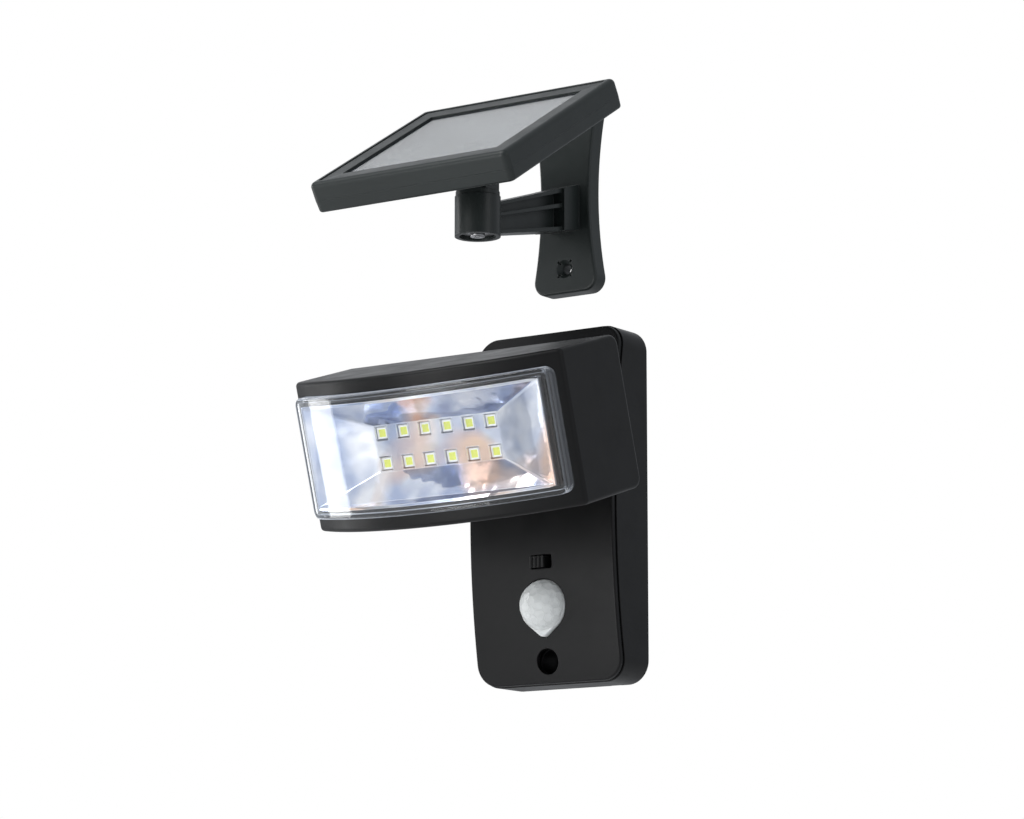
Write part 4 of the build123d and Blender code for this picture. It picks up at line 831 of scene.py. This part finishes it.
@dataclass
class Hardware:
    """The screws and pins whose heads show, in place of plain ones."""

    head: "LampHead"
    panel: "SolarPanel"
    base_seat: float = 3.0 * MM
    cover_head_r: float = 2.6 * MM
    foot_reach: float = 13.0 * MM
    foot_t: float = 2.0 * MM
    corner_sunk: float = 2.2 * MM
    pin_head: float = 3.4 * MM
    pan_t: float = 1.8 * MM

    def build(self) -> None:
        """Builds each set of screws on its body."""
        self.cover_screws()
        self.head_screws()
        self.panel_screws()
        self.pins()

    def group(self, name: str, screw: Screw, places: Iterable[Place], body: Body, node: str) -> None:
        """Builds one set of like screws.

        Args:
            name: the piece's name.
            screw: their size.
            places: their seats.
            body: what they ride on.
            node: the CAD node that they stand for.
        """
        mesh = bmesh.new()
        for place in places:
            screw.build(mesh, place)
        settle(finish_mesh(name, mesh, [STEEL]), body, Slot.STEEL, node)

    def cover_screws(self) -> None:
        """Four screws deep in the base's back."""
        low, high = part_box("cover_screws")
        reach = self.cover_head_r
        back = Place(Vector((0, -self.base_seat, 0)), *BACK_AXES)
        places = [
            back.moved(right=-x, up=z)
            for x in (low.x + reach, high.x - reach)
            for z in (low.z + reach, high.z - reach)
        ]
        screw = Screw(1.4 * MM, 14.0 * MM, reach, self.pan_t)
        self.group("cover_screw_set", screw, places, Body.WALL, "cover_screws")

    def small(self, length: float) -> Screw:
        """The row's small screw, at a shank's length in metres."""
        return Screw(1.08 * MM, length, 2.1 * MM, self.pan_t)

    def head_screws(self) -> None:
        """Four screws at the corners of the head's rear cover."""
        across, up = self.head.width / 2 - self.head.boss_in, self.head.height / 2 - self.head.boss_in
        rear = self.head.face(self.head.side - self.head.rear_in)
        back = Place(rear.origin, -rear.right, rear.up, -rear.out)
        places = [back.moved(right=sx * across, up=su * up) for sx in (-1, 1) for su in (-1, 1)]
        self.group("head_cover_screw_set", self.small(9.5 * MM), places, Body.HEAD, "head_cover_screws")

    def panel_screws(self) -> None:
        """Screws under the panel: four at its corners and two in its foot."""
        under = self.panel.face(-self.panel.thick)
        down = Place(under.origin, -under.right, under.up, -under.out)
        across, along = self.panel.width / 2 - self.panel.boss_in, self.panel.length / 2 - self.panel.boss_in
        corners = [
            down.moved(right=sx * across, up=su * along, out=-self.corner_sunk)
            for sx in (-1, 1)
            for su in (-1, 1)
        ]
        self.group("panel_screw_set", self.small(8.0 * MM), corners, Body.PANEL, "panel_screws")
        foot = [down.moved(right=sx * self.foot_reach, out=self.foot_t) for sx in (-1, 1)]
        self.group("foot_screw_set", self.small(4.8 * MM), foot, Body.PANEL, "foot_screws")

    def pins(self) -> None:
        """The neck's upright pin, the two tilt bolts and the post's screw."""
        low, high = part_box("swivel_pin")
        middle = (low + high) / 2
        seat = Place(Vector((middle.x, middle.y, high.z - self.pin_head)), *TOP_AXES)
        upright = Screw(2.5 * MM, high.z - low.z - self.pin_head, 4.4 * MM, self.pin_head, Drive.HEXAGON)
        self.group("swivel_pin_turned", upright, [seat], Body.WALL, "swivel_pin")
        for node, body, radius, thick, name in (
            ("tilt_bolt", Body.HEAD, 2.5 * MM, self.pin_head, "tilt_bolt_turned"),
            ("panel_bolt", Body.POST, 2.0 * MM, 2.6 * MM, "panel_bolt_turned"),
        ):
            low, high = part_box(node)
            middle = (low + high) / 2
            seat = Place(Vector((high.x - thick, middle.y, middle.z)), *SIDE_AXES)
            size = Screw(radius, high.x - low.x - thick, (high.z - low.z) / 2, thick, Drive.HEXAGON)
            self.group(name, size, [seat], body, node)
        low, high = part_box("post_screw")
        middle = (low + high) / 2
        seat = Place(Vector((middle.x, middle.y, low.z + self.pan_t)), *UNDER_AXES)
        size = Screw(1.58 * MM, high.z - low.z - self.pan_t, 3.3 * MM, self.pan_t)
        self.group("post_screw_cross", size, [seat], Body.POST, "post_screw")


@dataclass
class LampHead:
    """The tilting head: its frame of reference, and its light-emitting packages."""

    tilt: float = 17.3
    width: float = 141.0 * MM
    height: float = 67.0 * MM
    side: float = 45.5 * MM
    to_axis: float = 8.2 * MM
    rear_in: float = 1.0 * MM
    boss_in: float = 6.2 * MM
    led_size: float = 5.0 * MM
    led_t: float = 1.2 * MM
    led_pitch: float = 11.5 * MM
    led_rows: float = 13.4 * MM
    led_columns: int = 6
    board_depth: float = 2.6 * MM
    plate: tuple[float, float] = (67.2 * MM, 20.6 * MM)
    plate_out: float = -1.0 * MM
    cup: float = 6.6 * MM
    cup_depth: float = 1.7 * MM
    rim: tuple[float, float] = (122.0 * MM, 44.0 * MM)
    rim_t: float = 1.2 * MM
    rim_r: float = 125.46 * MM
    curve_centre: float = 101.96 * MM
    wall_rise: float = 8.8 * MM
    flange_out: float = 1.4 * MM
    flange: tuple[float, float] = (124.6 * MM, 55.0 * MM)
    corner_r: float = 1.4 * MM
    package_rim: float = 0.85 * MM
    well_depth: float = 0.35 * MM
    well_rim: float = 0.3 * MM
    package_edge: float = 0.2 * MM
    pad: tuple[float, float, float] = (0.3 * MM, 0.8 * MM, 0.5 * MM)
    pad_out: float = 0.12 * MM
    pad_rise: float = 0.26 * MM
    pad_pitch: float = 1.5 * MM

    def face(self, depth: float = 0.0) -> Place:
        """A place on the head's axis, looking out of its front.

        Args:
            depth: metres behind the front corners of the side walls.
        """
        joint = next(j for j in frame["joints"] if j["name"] == "head_tilt")
        rear = Vector((0, cos(radians(self.tilt)), sin(radians(self.tilt))))
        up = Vector((0, -rear.z, rear.y))
        origin = Vector(joint["pos_m"]) - rear * (self.side + self.to_axis)
        return Place(origin + rear * depth, Vector((1, 0, 0)), up, -rear)

    def build(self) -> None:
        """Builds the packages and the reflector round them."""
        self.packages()
        self.reflector()

    def led_points(self) -> list[tuple[float, float]]:
        """Right and up of each package's middle."""
        columns = [(n - (self.led_columns - 1) / 2) * self.led_pitch for n in range(self.led_columns)]
        return [(x, row * self.led_rows) for row in (-0.5, 0.5) for x in columns]

    def reflector(self) -> None:
        """The mirrored tray: a plate with a cup for each package, sloped walls, and a rim up to the lens."""
        mesh = bmesh.new()
        bmesh.ops.create_grid(mesh, x_segments=1, y_segments=1, size=0.5)
        bmesh.ops.scale(mesh, verts=mesh.verts[:], vec=(self.plate[0], self.plate[1], 1))
        points = self.led_points()
        for axis, way in enumerate((Vector((1, 0, 0)), Vector((0, 1, 0)))):
            for middle in sorted({p[axis] for p in points}):
                for cut in (middle - self.cup / 2, middle + self.cup / 2):
                    self.cut(mesh, way * cut, way)
        edge = [e for e in mesh.edges if e.is_boundary]
        mesh.faces.ensure_lookup_table()
        near = 1.0 * MM
        cups = []
        for face in mesh.faces:
            middle = face.calc_center_median().xy
            if any((middle - Vector(point)).length < near for point in points):
                cups.append(face)
        self.cups(mesh, cups)
        widen = (self.rim[0] / self.plate[0], self.rim[1] / self.plate[1])
        edge = self.step_out(mesh, edge, widen, self.wall_rise)
        corners = [e for e in mesh.edges if self.is_corner(e)]
        edge = self.step_out(mesh, edge, (1.0, 1.0), 0.0)
        self.follow_lens(edge)
        lip = (self.rim[0] + 2 * self.rim_t, self.rim[1] + 2 * self.rim_t)
        edge = self.step_out(mesh, edge, (lip[0] / self.rim[0], lip[1] / self.rim[1]), 0.0)
        edge = self.step_out(mesh, edge, (1.0, 1.0), 0.0)
        for vert in {v for e in edge for v in e.verts}:
            vert.co.z = self.flange_out - self.plate_out
        self.step_out(mesh, edge, (self.flange[0] / lip[0], self.flange[1] / lip[1]), 0.0)
        soften(mesh, corners, self.corner_r, 4)
        bmesh.ops.transform(mesh, matrix=self.face(-self.plate_out).matrix(), verts=mesh.verts[:])
        settle(finish_mesh("reflector_tray", mesh, [MIRROR], 28.0), Body.HEAD, Slot.MIRROR, "reflector")

    def cut(self, mesh: Mesh, where: Vector, way: Vector) -> None:
        """Cuts the flat plate along a plane.

        Args:
            mesh: the plate.
            where: a point on the plane.
            way: the plane's normal.
        """
        geom = mesh.verts[:] + mesh.edges[:] + mesh.faces[:]
        bmesh.ops.bisect_plane(mesh, geom=geom, plane_co=where, plane_no=way)

    def cups(self, mesh: Mesh, faces: list[bmesh.types.BMFace]) -> None:
        """Sinks a tapered cup from each face and opens its bottom.

        Args:
            mesh: the plate.
            faces: the squares that the cups start from.
        """
        bmesh.ops.inset_individual(mesh, faces=faces, thickness=0.35 * MM, depth=0.25 * MM)
        floors = bmesh.ops.extrude_discrete_faces(mesh, faces=faces)["faces"]
        for face in floors:
            middle = face.calc_center_median()
            about = Matrix.Translation(-middle)
            bmesh.ops.scale(mesh, verts=face.verts[:], vec=(0.86, 0.86, 1.0), space=about)
            lift(mesh, face.verts[:], -self.cup_depth)
        bmesh.ops.delete(mesh, geom=floors, context="FACES")

    def step_out(self, mesh: Mesh, edge: list, scale: tuple[float, float], rise: float) -> list:
        """Extrudes an open edge, then scales and lifts what is new.

        Args:
            mesh: the tray.
            edge: the open edge.
            scale: how much wider and higher the new edge is.
            rise: metres that it moves outwards.

        Returns:
            The new open edge.
        """
        made = bmesh.ops.extrude_edge_only(mesh, edges=edge)["geom"]
        verts = [v for v in made if isinstance(v, bmesh.types.BMVert)]
        bmesh.ops.scale(mesh, verts=verts, vec=(scale[0], scale[1], 1.0))
        lift(mesh, verts, rise)
        return [e for e in made if isinstance(e, bmesh.types.BMEdge) and e.is_boundary]

    def is_corner(self, edge: bmesh.types.BMEdge) -> bool:
        """Whether an edge runs from a corner of the plate to a corner of the rim."""
        ends = [Vector((abs(v.co.x), abs(v.co.y))) for v in edge.verts]
        inner = Vector((self.plate[0] / 2, self.plate[1] / 2))
        outer = Vector((self.rim[0] / 2, self.rim[1] / 2))
        return all(min((e - corner).length for e in ends) < 1e-5 for corner in (inner, outer))

    def follow_lens(self, edge: list) -> None:
        """Brings an edge up to the curved lens.

        Args:
            edge: the edge, still at the sloped walls' height.
        """
        for vert in {v for e in edge for v in e.verts}:
            reach = (self.rim_r**2 - vert.co.x**2) ** 0.5 - self.curve_centre
            vert.co.z = max(vert.co.z, reach - self.plate_out)

    def packages(self) -> None:
        """The packages in their two rows."""
        mesh = bmesh.new()
        seat = self.face(self.board_depth)
        for right, up in self.led_points():
            self.package(mesh, seat.moved(right=right, up=up))
        made = finish_mesh("led_packages", mesh, [LED_BODY, PHOSPHOR, STEEL])
        settle(made, Body.HEAD, Slot.LED, "led_chips")

    def package(self, mesh: Mesh, place: Place) -> None:
        """One package: a white body with a sunken phosphor and metal feet.

        Args:
            mesh: the bmesh to add to.
            place: the middle of its foot on the board.
        """
        before = set(mesh.verts)
        body = block(mesh, (self.led_size, self.led_size, self.led_t))
        lift(mesh, body, self.led_t / 2)
        faces = {f for v in body for f in v.link_faces}
        top = max(faces, key=lambda f: f.calc_center_median().z)
        rim = list(top.edges)
        bmesh.ops.inset_region(mesh, faces=[top], thickness=self.package_rim)
        well = bmesh.ops.extrude_discrete_faces(mesh, faces=[top])["faces"][0]
        lift(mesh, list(well.verts), -self.well_depth)
        bmesh.ops.inset_region(mesh, faces=[well], thickness=self.well_rim)
        well.material_index = 1
        soften(mesh, rim, self.package_edge, 2)
        for side in (-1, 1):
            for step in (-1, 0, 1):
                self.add_pad(mesh, side, step)
        added = [v for v in mesh.verts if v not in before]
        bmesh.ops.transform(mesh, matrix=place.matrix(), verts=added)

    def add_pad(self, mesh: Mesh, side: int, step: int) -> None:
        """One metal foot at a package's edge.

        Args:
            mesh: the bmesh to add to.
            side: -1 or 1, the side that it stands on.
            step: -1, 0 or 1, its place along that side.
        """
        foot = block(mesh, self.pad)
        across = side * (self.led_size / 2 + self.pad_out)
        bmesh.ops.translate(mesh, verts=foot, vec=(across, step * self.pad_pitch, self.pad_rise))
        for face in {f for v in foot for f in v.link_faces}:
            face.material_index = 2


@dataclass
class SensorFacets:
    """The movement sensor's window: a dome of small lens cells on a drop-shaped foot."""

    radius: float = 11.6 * MM
    rise: float = 9.2 * MM
    flange_r: float = 14.0 * MM
    flange_t: float = 1.2 * MM
    skirt_t: float = 3.2 * MM
    skirt_edge: float = 0.6 * MM
    lip_drop: float = 14.0 * MM
    lip_r: float = 2.6 * MM
    proud: float = 0.1 * MM
    seam: float = 0.22 * MM
    crown: float = 0.16 * MM
    corner_share: float = 0.33
    sunk: float = 0.5 * MM
    turn: float = 17.0

    def build(self) -> None:
        """Builds the cap, its drop-shaped skirt and the flange behind the cover."""
        low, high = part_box("sensor_dome")
        ball = (self.radius**2 + self.rise**2) / (2 * self.rise)
        middle = Vector((0, low.y + ball, high.z - self.flange_r))
        mesh = bmesh.new()
        self.cap(mesh, ball)
        bmesh.ops.translate(mesh, verts=mesh.verts[:], vec=middle)
        seat = Place(Vector((0, low.y + self.rise, middle.z)), *FRONT_AXES)
        self.skirt(mesh, seat)
        flange = turned(mesh, 96, self.flange_r, self.flange_t)
        depth = high.y - low.y - self.rise - self.flange_t / 2
        bmesh.ops.transform(mesh, matrix=seat.moved(out=-depth).matrix(), verts=flange)
        settle(finish_mesh("sensor_facets", mesh, [DOME], 30.0), Body.WALL, Slot.SENSOR, "sensor_dome")

    def cap(self, mesh: Mesh, ball: float) -> None:
        """The bulging window, cut into raised flat cells.

        Args:
            mesh: the bmesh to add to.
            ball: the radius of the sphere that the window is part of.
        """
        bmesh.ops.create_icosphere(mesh, subdivisions=2, radius=ball + self.proud)
        turn = Matrix.Rotation(radians(self.turn), 3, "X")
        bmesh.ops.rotate(mesh, verts=mesh.verts[:], cent=(0, 0, 0), matrix=turn)
        edge = min(e.calc_length() for e in mesh.edges)
        soften(mesh, mesh.verts[:], edge * self.corner_share, 1, "VERTICES")
        geom = mesh.verts[:] + mesh.edges[:] + mesh.faces[:]
        cut = (0, self.rise - ball + self.sunk, 0)
        bmesh.ops.bisect_plane(mesh, geom=geom, plane_co=cut, plane_no=(0, 1, 0), clear_outer=True)
        rim = [e for e in mesh.edges if e.is_boundary]
        bmesh.ops.inset_individual(mesh, faces=mesh.faces[:], thickness=self.seam, depth=self.crown)
        bmesh.ops.edgeloop_fill(mesh, edges=[e for e in rim if e.is_valid and e.is_boundary])

    def skirt(self, mesh: Mesh, seat: Place) -> None:
        """The flat drop-shaped foot that the window bulges from.

        Args:
            mesh: the bmesh to add to.
            seat: the middle of its front.
        """
        before = set(mesh.verts)
        added = turned(mesh, 96, self.radius, self.skirt_t)
        for vert in added:
            angle = atan2(vert.co.x, -vert.co.y)
            vert.co.xy *= self.reach(abs(angle)) / self.radius
        lift(mesh, added, -self.skirt_t / 2)
        faces = {f for v in added for f in v.link_faces}
        front = max(faces, key=lambda f: f.calc_center_median().z)
        soften(mesh, front.edges[:], self.skirt_edge, 3)
        added = [v for v in mesh.verts if v not in before]
        bmesh.ops.transform(mesh, matrix=seat.matrix(), verts=added)

    def reach(self, angle: float) -> float:
        """How far the drop's outline is from the window's middle.

        Args:
            angle: radians from straight down.
        """
        to_tip = self.lip_drop - self.lip_r
        tangent = acos((self.radius - self.lip_r) / to_tip)
        tip_end = atan2(self.lip_r * sin(tangent), to_tip + self.lip_r * cos(tangent))
        if angle >= tangent:
            return self.radius
        if angle >= tip_end:
            return self.radius / cos(angle - tangent)
        return to_tip * cos(angle) + (self.lip_r**2 - (to_tip * sin(angle)) ** 2) ** 0.5


@dataclass
class SolarPanel:
    """The tilting panel: its frame of reference."""

    slant: float = 31.0
    width: float = 105.0 * MM
    length: float = 101.0 * MM
    thick: float = 14.0 * MM
    drop: float = 9.0 * MM
    boss_in: float = 6.4 * MM

    def face(self, rise: float = 0.0) -> Place:
        """A place on the panel's axis, looking out of its top.

        Args:
            rise: metres above its top.
        """
        joint = next(j for j in frame["joints"] if j["name"] == "panel_tilt")
        along = Vector((0, cos(radians(self.slant)), sin(radians(self.slant))))
        out = Vector((0, -along.z, along.y))
        origin = Vector(joint["pos_m"]) + out * (self.drop + self.thick + rise)
        return Place(origin, Vector((1, 0, 0)), along, out)


def dress_nodes() -> None:
    """Swaps the material in each carried-over node's slots for its finish."""
    for node, shape in frame["nodes"].items():
        made = NODE_FINISHES[node].material()
        if not shape.data.materials:
            shape.data.materials.append(made)
        for number in range(len(shape.data.materials)):
            shape.data.materials[number] = made
        log.info("node %s wears %s", node, made.name)


@dataclass
class Studio:
    """A pale floor, soft lights and the camera."""

    # name, middle and size in metres, watts
    SOFTBOXES: ClassVar[tuple] = (
        ("key", (-0.35, -1.1, 1.25), (1.1, 0.8), 12.0),
        ("front", (-0.45, -1.7, -0.12), (0.8, 0.7), 9.0),
        ("left", (-1.5, -0.35, 0.15), (0.4, 1.1), 5.0),
        ("right", (1.5, -0.1, 0.5), (0.5, 1.2), 1.8),
        ("back", (-1.05, 1.1, 1.15), (1.7, 1.1), 2.1),
    )
    AIM: ClassVar[Vector] = Vector((0, -0.05, 0.06))

    target: Vector = field(default_factory=lambda: Vector((-0.0348, 0.0, 0.0508)))
    distance: float = 1.616
    azimuth: float = 34.66
    elevation: float = -10.0
    lens: float = 123.05
    floor_z: float = -0.42

    def build(self) -> None:
        """Builds the whole studio."""
        self.floor()
        self.world()
        self.camera()
        for name, where, size, power in self.SOFTBOXES:
            self.softbox(name, where, size, power)

    def floor(self) -> None:
        """A wide pale floor, well below the lamp."""
        mesh = bmesh.new()
        bmesh.ops.create_grid(mesh, x_segments=4, y_segments=4, size=6.0)
        lift(mesh, mesh.verts[:], self.floor_z)
        pale, second = (0.88, 0.88, 0.88), (0.86, 0.86, 0.86)
        paint = Coated("floor_pale", colour=pale, second=second, roughness=0.7, scale=6.0)
        finish_mesh("studio_floor", mesh, [paint])

    def world(self) -> None:
        """White where the view passes the object or goes through its lens, dimmer as a source of light."""
        world = bpy.data.worlds.new("studio_air")
        bpy.context.scene.world = world
        world.use_nodes = True
        world.node_tree.nodes.clear()
        g = Graph(world.node_tree)
        dim = g.add("Background", {"Color": (0.9, 0.94, 1.0, 1), "Strength": 0.46}).outputs[0]
        white = g.add("Background", {"Color": (1, 1, 1, 1), "Strength": 1.0}).outputs[0]
        path = g.add("LightPath").outputs
        seen = g.maths("MAXIMUM", path["Is Camera Ray"], path["Is Transmission Ray"])
        g.add("OutputWorld", {"Surface": g.add("MixShader", {0: seen, 1: dim, 2: white}).outputs[0]})
        bpy.context.scene.view_settings.view_transform = "Standard"

    def softbox(self, name: str, where: Colour, size: tuple[float, float], power: float) -> None:
        """A rectangular soft light aimed at the object.

        Args:
            name: its name.
            where: its middle, in metres.
            size: its width and height, in metres.
            power: its watts.
        """
        lamp = bpy.data.lights.new("softbox_" + name, "AREA")
        lamp.shape = "RECTANGLE"
        lamp.size, lamp.size_y = size
        lamp.energy = power
        made = bpy.data.objects.new(lamp.name, lamp)
        made.location = where
        aim = self.AIM - Vector(where)
        made.rotation_euler = aim.to_track_quat("-Z", "Y").to_euler()
        made.visible_camera = False
        bpy.context.scene.collection.objects.link(made)

    def camera(self) -> None:
        """The camera, below the lamp and to its right."""
        data = bpy.data.cameras.new("camera")
        data.lens, data.sensor_width = self.lens, 36.0
        data.clip_start, data.clip_end = 0.05, 50.0
        made = bpy.data.objects.new("camera", data)
        a, e = radians(self.azimuth), radians(self.elevation)
        back = Vector((sin(a) * cos(e), -cos(a) * cos(e), sin(e)))
        made.location = self.target + back * self.distance
        made.rotation_euler = (-back).to_track_quat("-Z", "Y").to_euler()
        bpy.context.scene.collection.objects.link(made)
        bpy.context.scene.camera = made


def main() -> None:
    """Builds the scene in order."""
    logging.basicConfig(level=logging.INFO, format="%(name)s: %(message)s")
    dress_nodes()
    head, panel = LampHead(), SolarPanel()
    head.build()
    SensorFacets().build()
    Hardware(head, panel).build()
    Studio().build()


if __name__ == "__main__":
    main()
